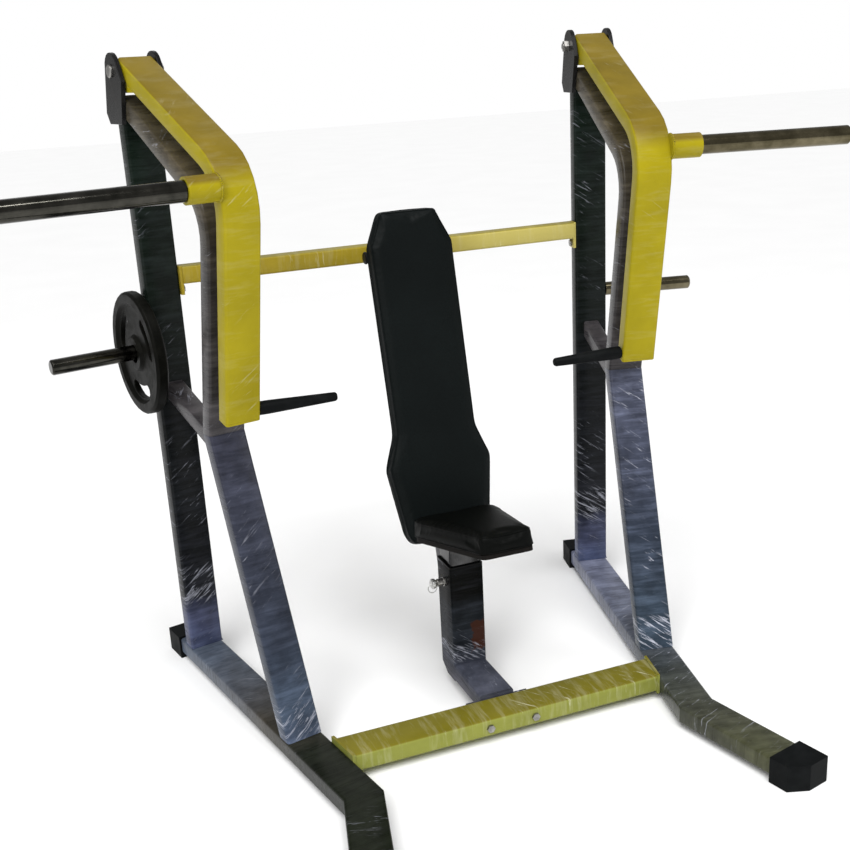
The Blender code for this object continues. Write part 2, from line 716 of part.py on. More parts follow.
def grip(prefix, anchor, start, inward):
    """The tapered rubber sleeve on the handle bar, closed at the tip."""
    bore = HANDLE_BAR_DIAMETER / 2 + GAP
    base = GRIP_BASE_DIAMETER / 2
    tip = GRIP_TIP_DIAMETER / 2
    profile = [(bore, 2 * GAP + 0.004), (base, 2 * GAP + 0.004),
               (base, 0.030), (tip, HANDLE_LENGTH - 0.006),
               (tip * 0.75, HANDLE_LENGTH - 0.001), (0, HANDLE_LENGTH),
               (0, HANDLE_LENGTH - GRIP_END), (bore, HANDLE_LENGTH - GRIP_END)]
    shape = lathe(profile, start, inward, SMALL_STEPS)
    new_object(prefix + "handle_grip", shape, "rubber", anchor)


def arm_bumper(prefix, anchor):
    """The rubber stop on the front post that the arm rests against."""
    post_face = KNEE + POST_OUT * GAP
    start = meeting_point(post_face, POST_DOWN, (0, BUMPER_HEIGHT), Vector((1, 0)))
    corner = Vector((ARM_CORNER_U, ARM_CORNER_HEIGHT))
    arm_rear = corner - ARM_OUT * (ARM_DEPTH / 2 + GAP)
    end = meeting_point(start, POST_OUT, arm_rear, ARM_DOWN)
    path = stations([(*start, 0), (*end, 0)], tuple(-POST_DOWN), tuple(-ARM_DOWN))
    new_object(prefix + "arm_bumper", bar(circle(BUMPER_DIAMETER / 2, SMALL_STEPS), path), "rubber", anchor)


def build_side(prefix, side, root):
    """One whole side: frame, pivot, arm and storage horn."""
    anchor = empty(prefix + "side", root, (side * HALF_SPACING, 0, 0), -math.pi / 2 - side * TOE_IN)
    rail_and_boots(prefix, side, anchor)
    frame_tubes(prefix, anchor)
    ears(prefix, side, anchor)
    pivot(prefix, side, anchor)
    arm_bumper(prefix, anchor)
    horn(prefix + "storage_horn", anchor, (STORE_U, 0, STORE_HEIGHT), side, SIDE_FACE + GAP,
         STORE_END, STORE_DIAMETER / 2, STORE_WALL)
    swing = empty(prefix + "swing", anchor, PIVOT)
    bearings(prefix, side, swing)
    press_arm(prefix, side, swing)
    return anchor


def weight_plate(side, anchor):
    """A rubber plate with a hub, a thin web, a thick rim and three hand slots, on its horn."""
    radius = PLATE_RADIUS
    bore = PLATE_BORE / 2
    half = PLATE_THICKNESS / 2
    web = PLATE_WEB / 2
    profile = [(bore, -half), (PLATE_HUB_RADIUS, -half), (PLATE_HUB_RADIUS + 0.008, -web),
               (radius - PLATE_RIM - 0.008, -web), (radius - PLATE_RIM, -half), (radius - 0.006, -half),
               (radius, -half + 0.006), (radius, half - 0.006), (radius - 0.006, half),
               (radius - PLATE_RIM, half), (radius - PLATE_RIM - 0.008, web),
               (PLATE_HUB_RADIUS + 0.008, web), (PLATE_HUB_RADIUS, half), (bore, half)]
    hang = (PLATE_BORE - STORE_DIAMETER) / 2 - GAP
    centre = (STORE_U, side * (PLATE_INBOARD + half), STORE_HEIGHT - hang)
    shape = lathe(profile, (0, 0, 0), (0, side, 0), PLATE_STEPS)
    plate = new_object("weight_plate", shape, "rubber", anchor)
    for index in range(PLATE_SLOTS):
        middle = math.radians(270) + math.tau * index / PLATE_SLOTS
        spread = SLOT_LENGTH / 2 / SLOT_RADIUS
        end = SLOT_WIDTH / 2
        outline = arc((0, 0), SLOT_RADIUS + end, middle - spread, middle + spread, 4)
        outline += arc(SLOT_RADIUS * heading(middle + spread), end, middle + spread,
                       middle + spread + math.pi, 4)[1:-1]
        outline += arc((0, 0), SLOT_RADIUS - end, middle + spread, middle - spread, 4)
        outline += arc(SLOT_RADIUS * heading(middle - spread), end, middle - spread + math.pi,
                       middle - spread + math.tau, 4)[1:-1]
        combine(plate, slab(outline, -0.05, 0.05), "DIFFERENCE")
    plate.location = centre
    return plate


# ---------------------------------------------------------------- crossbeams

def side_point(side, u, v):
    """A point of a side frame on the floor plan, in the machine's x and y."""
    return Vector((side * (HALF_SPACING - u * math.sin(TOE_IN) + v * math.cos(TOE_IN)),
                   -u * math.cos(TOE_IN) - v * math.sin(TOE_IN)))


def inboard_line(side, inset):
    """The side frame's inboard face moved in by an inset: a point and the rail's direction."""
    return side_point(side, 0, -SIDE_FACE - inset), (side_point(side, 1, 0) - side_point(side, 0, 0))


def crossbeam(name, root, front, rear, bottom, height, flange_bottom, flange_top, flange_grow):
    """A beam between the sides with an end plate on each, cut to the sides' toe-in."""
    middle_y = (front + rear) / 2
    across = Vector((1, 0))
    inset = GAP + BEAM_FLANGE - 0.001
    ends = []
    for side in (-1, 1):
        point, direction = inboard_line(side, inset)
        ends.append((meeting_point((0, middle_y), across, point, direction), direction))
    path = stations([(*ends[0][0], 0), (*ends[1][0], 0)], tuple(-ends[0][1]), tuple(-ends[1][1]))
    width = rear - front
    shape = box_tube(path, height, width, place=floor_plane)
    bmesh.ops.translate(shape, vec=(0, 0, bottom + height / 2), verts=shape.verts)
    beam = new_object(name, shape, "arm_paint", root)
    for side in (-1, 1):
        outline = []
        for layer, reach in ((0, -1), (0, 1), (1, 1), (1, -1)):
            point, direction = inboard_line(side, GAP + layer * BEAM_FLANGE)
            direction = direction.normalized()
            middle = meeting_point((0, middle_y), across, point, direction)
            span = (width / 2 + flange_grow) / math.cos(TOE_IN)
            outline.append(tuple(middle + direction * reach * span))
        combine(beam, slab(outline, flange_bottom, flange_top, floor_plane), "UNION")
    drain = rod(DRAIN_DIAMETER / 2, -0.02, 0.02, (DRAIN_X, middle_y, bottom), (0, 0, 1), 12)
    combine(beam, drain, "DIFFERENCE")
    return beam


def side_bolt(name, side, beam_y, height, beam, root):
    """A bolt through one end plate of a beam towards the side frame."""
    point, direction = inboard_line(side, GAP + BEAM_FLANGE + GAP)
    spot = meeting_point((0, beam_y), Vector((1, 0)), point, direction)
    place = Vector((*spot, height))
    outward = (side * math.cos(TOE_IN), -math.sin(TOE_IN), 0)
    bolt(name, BEAM_FLANGE, place, outward, root)
    hole = rod(BOLT_DIAMETER / 2 + GAP, -0.004, BEAM_FLANGE + 0.004, place, outward, 12)
    combine(beam, hole, "DIFFERENCE")


def crossbeams(root):
    """The wide low beam and the square high beam, with their bolts."""
    low_front = LOW_BEAM_REAR - LOW_BEAM_WIDTH
    low = crossbeam("low_beam", root, low_front, LOW_BEAM_REAR, LOW_BEAM_BOTTOM, TUBE_DEPTH,
                    LOW_BEAM_BOTTOM - 0.004, LOW_BEAM_BOTTOM + TUBE_DEPTH + 0.004, 0.004)
    half = HIGH_BEAM_SIZE / 2
    high = crossbeam("high_beam", root, -half, half, HIGH_BEAM_BOTTOM, HIGH_BEAM_SIZE,
                     HIGH_BEAM_BOTTOM - HIGH_FLANGE_DROP, HIGH_BEAM_BOTTOM + HIGH_BEAM_SIZE, -0.004)
    for prefix, side in SIDES:
        side_bolt(prefix + "beam_bolt", side, 0, HIGH_BEAM_BOTTOM - HIGH_FLANGE_DROP / 2, high, root)
    return low


# ---------------------------------------------------------------- pedestal and seat

PEDESTAL_MIDDLE = PEDESTAL_REAR - PEDESTAL_SIZE / 2
FOOT_TOP = PEDESTAL_BOTTOM + FOOT_DEPTH
SLEEVE_BORE = PEDESTAL_SIZE - 2 * PEDESTAL_WALL
SEAT_POST_SIZE = SLEEVE_BORE - 2 * (BUSHING_WALL + 2 * GAP)
FLANGE_FRONT = LOW_BEAM_REAR + GAP


def lengthwise_plane(x, y, across):
    """Plane of y and z, with the section's width along x."""
    return Vector((across, x, y))


def level_section(width, depth, radius, low, high, centre_y):
    """A solid upright bar of rounded rectangular section."""
    shape = slab(rounded_rectangle(width, depth, radius), low, high, floor_plane)
    bmesh.ops.translate(shape, vec=(0, centre_y, 0), verts=shape.verts)
    return shape


def pedestal(root, low_beam):
    """The seat's sleeve and its foot, bolted to the low beam through welded nuts."""
    sleeve = level_section(PEDESTAL_SIZE, PEDESTAL_SIZE, TUBE_CORNER, PEDESTAL_BOTTOM, PEDESTAL_TOP,
                           PEDESTAL_MIDDLE)
    base = new_object("pedestal", sleeve, "frame_paint", root)
    middle = PEDESTAL_BOTTOM + FOOT_DEPTH / 2
    foot = stations([(PEDESTAL_MIDDLE, middle, 0), (FLANGE_FRONT + 0.002, middle, 0)])
    outer = rounded_rectangle(PEDESTAL_SIZE - 0.0004, FOOT_DEPTH, TUBE_CORNER)
    combine(base, bar(outer, foot, lengthwise_plane), "UNION")
    flange_middle = LOW_BEAM_BOTTOM + TUBE_DEPTH / 2
    flange = block((-FOOT_FLANGE_WIDTH / 2, FLANGE_FRONT, flange_middle - FOOT_FLANGE_HEIGHT / 2),
                   (FOOT_FLANGE_WIDTH / 2, FLANGE_FRONT + BEAM_FLANGE,
                    flange_middle + FOOT_FLANGE_HEIGHT / 2))
    combine(base, flange, "UNION")
    bore = level_section(SLEEVE_BORE, SLEEVE_BORE, TUBE_CORNER - PEDESTAL_WALL,
                         FOOT_TOP - 0.010, PEDESTAL_TOP + 0.01, PEDESTAL_MIDDLE)
    combine(base, bore, "DIFFERENCE")
    inner = rectangle(PEDESTAL_SIZE - 2 * PEDESTAL_WALL, FOOT_DEPTH - 2 * PEDESTAL_WALL)
    channel = stations([(PEDESTAL_MIDDLE, middle, 0), (FLANGE_FRONT + BEAM_FLANGE, middle, 0)])
    combine(base, bar(inner, channel, lengthwise_plane), "DIFFERENCE")
    corner = FOOT_DEPTH * 0.9
    chamfer = [(PEDESTAL_REAR + 0.01, PEDESTAL_BOTTOM - 0.01),
               (PEDESTAL_REAR - corner - 0.01, PEDESTAL_BOTTOM - 0.01),
               (PEDESTAL_REAR - corner + 0.002, PEDESTAL_BOTTOM),
               (PEDESTAL_REAR + 0.01, PEDESTAL_BOTTOM + corner * 0.8)]
    combine(base, slab(chamfer, -0.08, 0.08, lengthwise_plane), "DIFFERENCE")
    pin_hole = rod(PIN_DIAMETER / 2 + 2 * GAP, -0.01, PEDESTAL_WALL + 0.01,
                   (-PEDESTAL_SIZE / 2, PIN_Y, PIN_HEIGHT), (1, 0, 0), 16)
    combine(base, pin_hole, "DIFFERENCE")
    head_y = LOW_BEAM_REAR - LOW_BEAM_WIDTH - GAP
    nut_y = FLANGE_FRONT + BEAM_FLANGE
    length = nut_y + NUT_THICKNESS - head_y
    for prefix, side in SIDES:
        spot = Vector((side * PEDESTAL_BOLT_X, head_y, flange_middle))
        weld_nut = rod(BOLT_HEAD / math.sqrt(3), nut_y - head_y - 0.001, length, spot, (0, 1, 0), 6)
        combine(base, weld_nut, "UNION")
        for holed in (low_beam, base):
            hole = rod(BOLT_DIAMETER / 2 + GAP, -0.01, length + 0.01, spot, (0, 1, 0), 12)
            combine(holed, hole, "DIFFERENCE")
        bolt(prefix + "pedestal_bolt", length, spot, (0, 1, 0), root)
    return base


def sleeve_bushing(root):
    """The plastic liner in the sleeve's mouth that the seat post runs in."""
    outer_size = SLEEVE_BORE - 2 * GAP
    inner_size = outer_size - 2 * BUSHING_WALL
    bottom = PEDESTAL_TOP - BUSHING_DEPTH
    shape = level_section(outer_size, outer_size, TUBE_CORNER - PEDESTAL_WALL, bottom,
                          PEDESTAL_TOP + BUSHING_LIP, PEDESTAL_MIDDLE)
    bushing = new_object("sleeve_bushing", shape, "plastic", root)
    lip = level_section(PEDESTAL_SIZE, PEDESTAL_SIZE, TUBE_CORNER, PEDESTAL_TOP + GAP,
                        PEDESTAL_TOP + BUSHING_LIP + GAP, PEDESTAL_MIDDLE)
    combine(bushing, lip, "UNION")
    bore = level_section(inner_size, inner_size, 0.002, bottom - 0.01, PEDESTAL_TOP + 0.02,
                         PEDESTAL_MIDDLE)
    combine(bushing, bore, "DIFFERENCE")
    hole = rod(PIN_DIAMETER / 2 + 2 * GAP, -0.01, 0.02, (-PEDESTAL_SIZE / 2, PIN_Y, PIN_HEIGHT),
               (1, 0, 0), 16)
    combine(bushing, hole, "DIFFERENCE")


def seat_post(carriage):
    """The sliding post with a row of pin holes, cut at the seat's tilt."""
    top = seat_underside(PEDESTAL_MIDDLE) - PLATE_STOCK / math.cos(SEAT_TILT) - GAP
    slope = math.tan(SEAT_TILT)
    bottom = top - SEAT_POST_LENGTH
    corner = 0.006
    half = SEAT_POST_SIZE / 2
    outer = rounded_rectangle(SEAT_POST_SIZE, SEAT_POST_SIZE, corner)
    inner = rectangle(SEAT_POST_SIZE - 2 * SEAT_POST_WALL, SEAT_POST_SIZE - 2 * SEAT_POST_WALL)
    path = stations([(PEDESTAL_MIDDLE, bottom, 0), (PEDESTAL_MIDDLE, top, 0)], None, (1, -slope))
    post = new_object("seat_post", hollow_bar(outer, inner, path, lengthwise_plane), "frame_paint",
                      carriage)
    for index in range(SEAT_STEPS + 1):
        height = PIN_HEIGHT - index * SEAT_STEP
        hole = rod(PIN_DIAMETER / 2 + 2 * GAP, -half - 0.01, -half + 0.01,
                   (0, PIN_Y, height), (1, 0, 0), 16)
        combine(post, hole, "DIFFERENCE")
    return post


def pop_pin(root):
    """The spring pin that locks the seat post: a threaded housing, the pin and its pull ring."""
    wall = -PEDESTAL_SIZE / 2 - GAP
    place = (wall, PIN_Y, PIN_HEIGHT)
    bore = PIN_DIAMETER / 2 + GAP
    body = PIN_HOUSING_DIAMETER / 2
    length = PIN_HOUSING_LENGTH
    profile = [(bore, 0), (body * 1.2, 0), (body * 1.2, 0.006), (body, 0.007), (body, length - 0.002),
               (body - 0.002, length), (bore, length)]
    new_object("pop_pin_housing", lathe(profile, place, (-1, 0, 0), 20), "bright_steel", root)
    anchor = empty("pin_anchor", root, place)
    tip = PEDESTAL_WALL + BUSHING_WALL
    radius = PIN_DIAMETER / 2
    knob = PIN_KNOB_DIAMETER / 2
    stem = length + GAP
    profile = [(0, -tip), (radius * 0.7, -tip), (radius, -tip + 0.002), (radius, stem),
               (knob * 0.55, stem), (knob, stem + 0.007), (knob, stem + 0.013),
               (knob * 0.8, stem + 0.016), (0, stem + 0.016)]
    new_object("pop_pin", lathe(profile, (0, 0, 0), (-1, 0, 0), 20), "bright_steel", anchor)


def seat_underside(y):
    """Height of the board's lower face at a distance y along the machine."""
    top = SEAT_FRONT_HEIGHT + (SEAT_FRONT_Y - y) * math.tan(SEAT_TILT)
    return top - (PAD_THICKNESS + BOARD_THICKNESS + 2 * GAP) / math.cos(SEAT_TILT)


def seat_outline():
    """Half-plan of the seat pad as (x, distance from its front edge), front edge first."""
    round_front = 0.022
    right = [(SEAT_FRONT_HALF - round_front, 0)]
    right += arc((SEAT_FRONT_HALF - round_front, round_front), round_front, -math.pi / 2, 0, 4)[1:]
    right += [(SEAT_REAR_HALF, SEAT_LENGTH * 0.86)]
    right += arc((SEAT_REAR_HALF - 0.03, SEAT_LENGTH - 0.03), 0.03, 0, math.pi / 2, 4)
    return right + [(-x, along) for x, along in reversed(right)]


def cushion(outline, thickness, look, name, parent, far, edge=0.010):
    """A soft pad: an outline made thick, with its show-side edge rounded off.

    The pad's show face is at 0 and it is as thick as given towards positive depth.
    """
    shape = bmesh.new()
    rings = []
    for step in range(4):
        angle = math.radians(90) * step / 3
        inset = edge * (1 - math.sin(angle))
        depth = edge * (1 - math.cos(angle))
        rings.append([shape.verts.new(far(x, y, depth)) for x, y in grown(outline, -inset)])
    rings.append([shape.verts.new(far(x, y, thickness)) for x, y in outline])
    for before, after in zip(rings, rings[1:]):
        skin(shape, before, after)
    shape.faces.new(rings[0])
    shape.faces.new(rings[-1])
    return new_object(name, shape, look, parent)


def seat(root):
    """The sliding seat: post, plate, board and pad."""
    carriage = empty("seat_carriage", root, (0, 0, 0))
    seat_post(carriage)
    tilted = empty("seat_tilt", carriage, (0, SEAT_FRONT_Y, SEAT_FRONT_HEIGHT), -SEAT_TILT, "X")

    def under(x, along, depth):
        return Vector((x, along, -depth))

    outline = seat_outline()
    cushion(outline, PAD_THICKNESS, "vinyl", "seat_pad", tilted, under)
    board_top = PAD_THICKNESS + GAP
    board_bottom = board_top + BOARD_THICKNESS
    board = slab(grown(outline, -BOARD_INSET), board_top, board_bottom, under)
    board_object = new_object("seat_board", board, "board", tilted)
    plate_top = board_bottom + GAP
    plate_bottom = plate_top + PLATE_STOCK
    post_rear = PEDESTAL_MIDDLE + SEAT_POST_SIZE / 2 - SEAT_FRONT_Y
    rear = post_rear / math.cos(SEAT_TILT) + plate_bottom * math.tan(SEAT_TILT) + SEAT_PLATE_LIP
    front = rear - SEAT_PLATE_LENGTH
    half = SEAT_PLATE_WIDTH / 2
    plate_outline = [(-half, front), (half, front), (half, rear), (-half, rear)]
    plate = new_object("seat_plate", slab(plate_outline, plate_top, plate_bottom, under),
                       "frame_paint", tilted)
    spots = []
    for x in (-half + 0.014, half - 0.014):
        for along in (front + 0.020, rear - 0.020):
            spots.append((x, along, -(plate_bottom + GAP)))
    screw_holes(spots, (0, 0, 1), plate, board_object)


def screw_holes(spots, direction, plate, board):
    """Holes for the pad screws, through a plate and part way into the board on it."""
    for spot in spots:
        for holed in (plate, board):
            hole = rod(SCREW_DIAMETER / 2, -0.002, PLATE_STOCK + SCREW_BITE, spot, direction, 12)
            combine(holed, hole, "DIFFERENCE")


# ---------------------------------------------------------------- backrest

def back_outline():
    """Plan of the back pad as (x, distance below its top edge), going round it."""
    corner = BACK_BOTTOM_ROUND
    right = [(BACK_TOP_HALF, 0), (BACK_SHOULDER_HALF, BACK_SHOULDER), (BACK_WAIST_HALF, BACK_WAIST),
             (BACK_HIPS_HALF, BACK_HIPS), (BACK_BOTTOM_HALF + 0.010, BACK_LENGTH - corner)]
    right += arc((BACK_BOTTOM_HALF + 0.006 - corner, BACK_LENGTH - corner), corner, 0.1,
                 math.pi / 2, 4)
    return right + [(-x, along) for x, along in reversed(right)]


def backrest(root):
    """The fixed backrest: pad, board, spine, its two plates and the stand-off to the high beam."""
    tilted = empty("back_tilt", root, (0, BACK_TOP_Y, BACK_TOP_HEIGHT), -BACK_RECLINE, "X")

    def behind(x, along, depth):
        return Vector((x, depth, -along))

    outline = back_outline()
    cushion(outline, BACK_PAD_THICKNESS, "vinyl", "back_pad", tilted, behind)
    board_front = BACK_PAD_THICKNESS + GAP
    board_rear = board_front + BOARD_THICKNESS
    board = slab(grown(outline, -BACK_BOARD_INSET), board_front, board_rear, behind)
    board_object = new_object("back_board", board, "board", tilted)

    spine_front = board_rear + GAP
    spine_middle = spine_front + SPINE_DEPTH / 2
    spine_rear = spine_front + SPINE_DEPTH
    section = rounded_rectangle(SPINE_WIDTH, SPINE_DEPTH, 0.005)
    inner = rectangle(SPINE_WIDTH - 2 * TUBE_WALL, SPINE_DEPTH - 2 * TUBE_WALL)
    floor_reach = (BACK_TOP_HEIGHT - SPINE_BOTTOM) / math.cos(BACK_RECLINE) + 0.02
    path = stations([(spine_middle, -SPINE_START, 0), (spine_middle, -floor_reach, 0)])
    spine = new_object("back_spine", hollow_bar(section, inner, path, lengthwise_plane),
                       "frame_paint", tilted)
    trim_to_pedestal(spine, root)

    plates = (SPINE_START + 0.050, BACK_WAIST + 0.10)
    spots = []
    half = SPINE_PLATE_WIDTH / 2
    for index, along in enumerate(plates):
        for x in (-half + 0.016, half - 0.016):
            spots.append((x, spine_front + PLATE_STOCK + GAP, -along))
        wing = block((-half, spine_front, -along - 0.020), (half, spine_front + PLATE_STOCK,
                                                         -along + 0.020))
        combine(spine, wing, "UNION")
    screw_holes(spots, (0, -1, 0), spine, board_object)
    standoff(root, spine_rear)


def trim_to_pedestal(spine, root):
    """Cuts the spine's lower end to the pedestal's rear face and square to the floor."""
    tilt = Matrix.Rotation(-BACK_RECLINE, 4, "X")
    place = Matrix.Translation((0, BACK_TOP_Y, BACK_TOP_HEIGHT)) @ tilt
    for low, high in (((-0.2, PEDESTAL_REAR - 0.3, -0.2), (0.2, PEDESTAL_REAR + GAP, PEDESTAL_TOP)),
                      ((-0.2, PEDESTAL_REAR - 0.3, -0.2), (0.2, 0.3, SPINE_BOTTOM))):
        cutter = block(low, high)
        bmesh.ops.transform(cutter, matrix=place.inverted(), verts=cutter.verts)
        combine(spine, cutter, "DIFFERENCE")


def standoff(root, spine_rear):
    """The short tube from the high beam to the spine, with a cross tube and its end plugs."""
    height = HIGH_BEAM_BOTTOM + HIGH_BEAM_SIZE / 2
    beam_face = -HIGH_BEAM_SIZE / 2 - GAP
    down = heading(-math.pi / 2 - BACK_RECLINE)
    out = heading(-BACK_RECLINE)
    spine_line = Vector((BACK_TOP_Y, BACK_TOP_HEIGHT)) + out * (spine_rear + GAP)
    spine_face = meeting_point((0, height), Vector((1, 0)), spine_line, down)
    path = stations([(*spine_face, 0), (beam_face, height, 0)], tuple(-down), (0, 1))
    piece = new_object("back_standoff", box_tube(path, STANDOFF_SIZE, STANDOFF_SIZE,
                                                 place=lengthwise_plane), "frame_paint", root)
    middle_y = (spine_face.x + beam_face) / 2 - 0.012
    radius = CROSS_TUBE_DIAMETER / 2
    centre = (0, middle_y, height)
    combine(piece, rod(radius, -CROSS_TUBE_HALF, CROSS_TUBE_HALF, centre, (1, 0, 0), 20), "UNION")
    bore = rod(radius - TUBE_WALL, -CROSS_TUBE_HALF - 0.01, CROSS_TUBE_HALF + 0.01, centre,
               (1, 0, 0), 20)
    combine(piece, bore, "DIFFERENCE")
    plug = CROSS_PLUG_DIAMETER / 2
    stem = radius - TUBE_WALL - GAP
    face = CROSS_TUBE_HALF + GAP
    end = face + CROSS_PLUG_LENGTH
    profile = [(0, face - 0.012), (stem, face - 0.012), (stem, face), (plug, face),
               (plug, end - 0.003), (plug - 0.003, end), (0, end)]
    for prefix, side in SIDES:
        new_object(prefix + "cross_plug", lathe(profile, centre, (side, 0, 0), 20), "plastic", root)


# ---------------------------------------------------------------- whole machine

def rest_on_centre(root):
    """Moves the machine along Y so that the origin is the middle of its footprint."""
    bpy.context.view_layer.update()
    reach = []
    for item in bpy.data.objects:
        if item.type == "MESH":
            reach += [(item.matrix_world @ vertex.co).y for vertex in item.data.vertices]
    root.location.y = -(min(reach) + max(reach)) / 2
    bpy.context.view_layer.update()


def main():
    for item in list(bpy.data.objects):
        bpy.data.objects.remove(item)
    root = empty("machine", None, (0, 0, 0))
    for prefix, side in SIDES:
        anchor = build_side(prefix, side, root)
        if side == PLATE_SIDE:
            weight_plate(side, anchor)
    low_beam = crossbeams(root)
    pedestal(root, low_beam)
    sleeve_bushing(root)
    pop_pin(root)
    seat(root)
    backrest(root)
    rest_on_centre(root)


main()
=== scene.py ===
import math
import json
import bmesh
import bpy
from mathutils import Matrix, Vector, noise
from mathutils.bvhtree import BVHTree

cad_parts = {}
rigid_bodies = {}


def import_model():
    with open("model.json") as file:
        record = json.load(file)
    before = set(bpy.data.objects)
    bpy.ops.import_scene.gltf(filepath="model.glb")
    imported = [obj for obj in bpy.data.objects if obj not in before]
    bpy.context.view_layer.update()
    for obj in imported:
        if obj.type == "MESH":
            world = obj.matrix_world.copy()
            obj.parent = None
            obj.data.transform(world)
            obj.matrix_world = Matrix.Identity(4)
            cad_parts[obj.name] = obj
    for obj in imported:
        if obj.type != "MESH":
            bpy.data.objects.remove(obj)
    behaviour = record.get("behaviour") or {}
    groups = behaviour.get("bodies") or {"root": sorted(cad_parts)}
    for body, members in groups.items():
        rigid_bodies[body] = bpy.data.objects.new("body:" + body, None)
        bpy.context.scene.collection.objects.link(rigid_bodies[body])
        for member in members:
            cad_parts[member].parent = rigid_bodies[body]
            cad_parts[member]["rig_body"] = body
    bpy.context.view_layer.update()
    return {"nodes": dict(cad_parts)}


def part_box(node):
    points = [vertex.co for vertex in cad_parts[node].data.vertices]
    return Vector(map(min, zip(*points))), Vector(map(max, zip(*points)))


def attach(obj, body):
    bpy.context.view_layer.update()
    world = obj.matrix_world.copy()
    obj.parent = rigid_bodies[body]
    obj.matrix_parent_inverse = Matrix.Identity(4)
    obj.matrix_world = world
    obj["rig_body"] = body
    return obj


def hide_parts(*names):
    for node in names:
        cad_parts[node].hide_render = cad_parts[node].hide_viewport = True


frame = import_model()

NODES = frame["nodes"]
SIDES = (("left_", -1), ("right_", 1))
TOE_IN = math.radians(12.3)
HALF_SPACING = 0.673         # machine's centre plane to the middle of an upright
FRAME_REAR = 0.572513        # the uprights' middle, behind the origin
SEAT_TILT = math.radians(-11.6)
SEAT_ORIGIN = Vector((0, -0.790 + FRAME_REAR, 0.603))
BACK_RECLINE = math.radians(-13.4)
BACK_ORIGIN = Vector((0, -0.197 + FRAME_REAR, 1.344))
WELD_GAP = 0.00001
SMOOTH_ANGLE = math.radians(35)


# ---------------------------------------------------------------- shader building

class Look:
    """A procedural material and short calls that add its nodes."""

    def __init__(self, name, rough=0.5, metal=0.0, specular=0.5, coat=0.0, coat_rough=0.1):
        self.material = bpy.data.materials.new(name)
        self.material.use_nodes = True
        self.tree = self.material.node_tree
        self.shader = self.tree.nodes["Principled BSDF"]
        self.shader.inputs["Metallic"].default_value = metal
        self.shader.inputs["Roughness"].default_value = rough
        self.shader.inputs["Specular IOR Level"].default_value = specular
        self.shader.inputs["Coat Weight"].default_value = coat
        self.shader.inputs["Coat Roughness"].default_value = coat_rough
        self.place = self.tree.nodes.new("ShaderNodeTexCoord").outputs["Object"]

    def node(self, kind, values=(), **settings):
        made = self.tree.nodes.new("ShaderNode" + kind)
        for key, value in settings.items():
            setattr(made, key, value)
        for socket, value in dict(values).items():
            self.put(made.inputs[socket], value)
        return made

    def put(self, socket, value):
        if isinstance(value, bpy.types.NodeSocket):
            self.tree.links.new(value, socket)
        else:
            socket.default_value = value

    def set(self, socket, value):
        self.put(self.shader.inputs[socket], value)

    def math(self, operation, first, second=0.0, third=0.0):
        values = {0: first, 1: second, 2: third}
        return self.node("Math", values, operation=operation).outputs[0]

    def dot(self, direction):
        """Distance along a direction, in metres."""
        values = {0: self.place, 1: direction}
        return self.node("VectorMath", values, operation="DOT_PRODUCT").outputs["Value"]

    def stretched(self, along, across, fine, long):
        """Coordinates that are fine along one direction and long across it."""
        scaled = [self.math("MULTIPLY", self.dot(along), fine),
                  self.math("MULTIPLY", self.dot(across), long)]
        normal = Vector(along).cross(Vector(across))
        scaled.append(self.math("MULTIPLY", self.dot(normal), long))
        return self.node("CombineXYZ", dict(enumerate(scaled))).outputs[0]

    def noise(self, scale, detail=3.0, rough=0.5, distortion=0.0, place=None):
        values = {"Vector": place or self.place, "Scale": scale, "Detail": detail,
                  "Roughness": rough, "Distortion": distortion}
        return self.node("TexNoise", values).outputs["Fac"]

    def cells(self, scale, feature="F1", place=None):
        values = {"Vector": place or self.place, "Scale": scale}
        return self.node("TexVoronoi", values, feature=feature).outputs["Distance"]

    def span(self, value, low, high, to_low=0.0, to_high=1.0):
        values = {"Value": value, "From Min": low, "From Max": high, "To Min": to_low,
                  "To Max": to_high}
        return self.node("MapRange", values, clamp=True).outputs["Result"]

    def ramp(self, value, stops):
        made = self.node("ValToRGB", {"Fac": value})
        points = made.color_ramp.elements
        points[0].position, points[0].color = stops[0][0], (*stops[0][1], 1)
        points[1].position, points[1].color = stops[-1][0], (*stops[-1][1], 1)
        for position, colour in stops[1:-1]:
            points.new(position).color = (*colour, 1)
        return made.outputs["Color"]

    def mix(self, share, first, second):
        made = self.node("Mix", data_type="RGBA")
        self.put(made.inputs["Factor"], share)
        for socket, value in ((made.inputs[6], first), (made.inputs[7], second)):
            self.put(socket, value if isinstance(value, bpy.types.NodeSocket) else (*value, 1))
        return made.outputs[2]

    def bump(self, height, strength, distance, normal=None):
        values = {"Height": height, "Strength": strength, "Distance": distance}
        made = self.node("Bump", values)
        if normal is not None:
            self.put(made.inputs["Normal"], normal)
        return made.outputs["Normal"]


# ---------------------------------------------------------------- materials

def unit(vector):
    return tuple(Vector(vector).normalized())


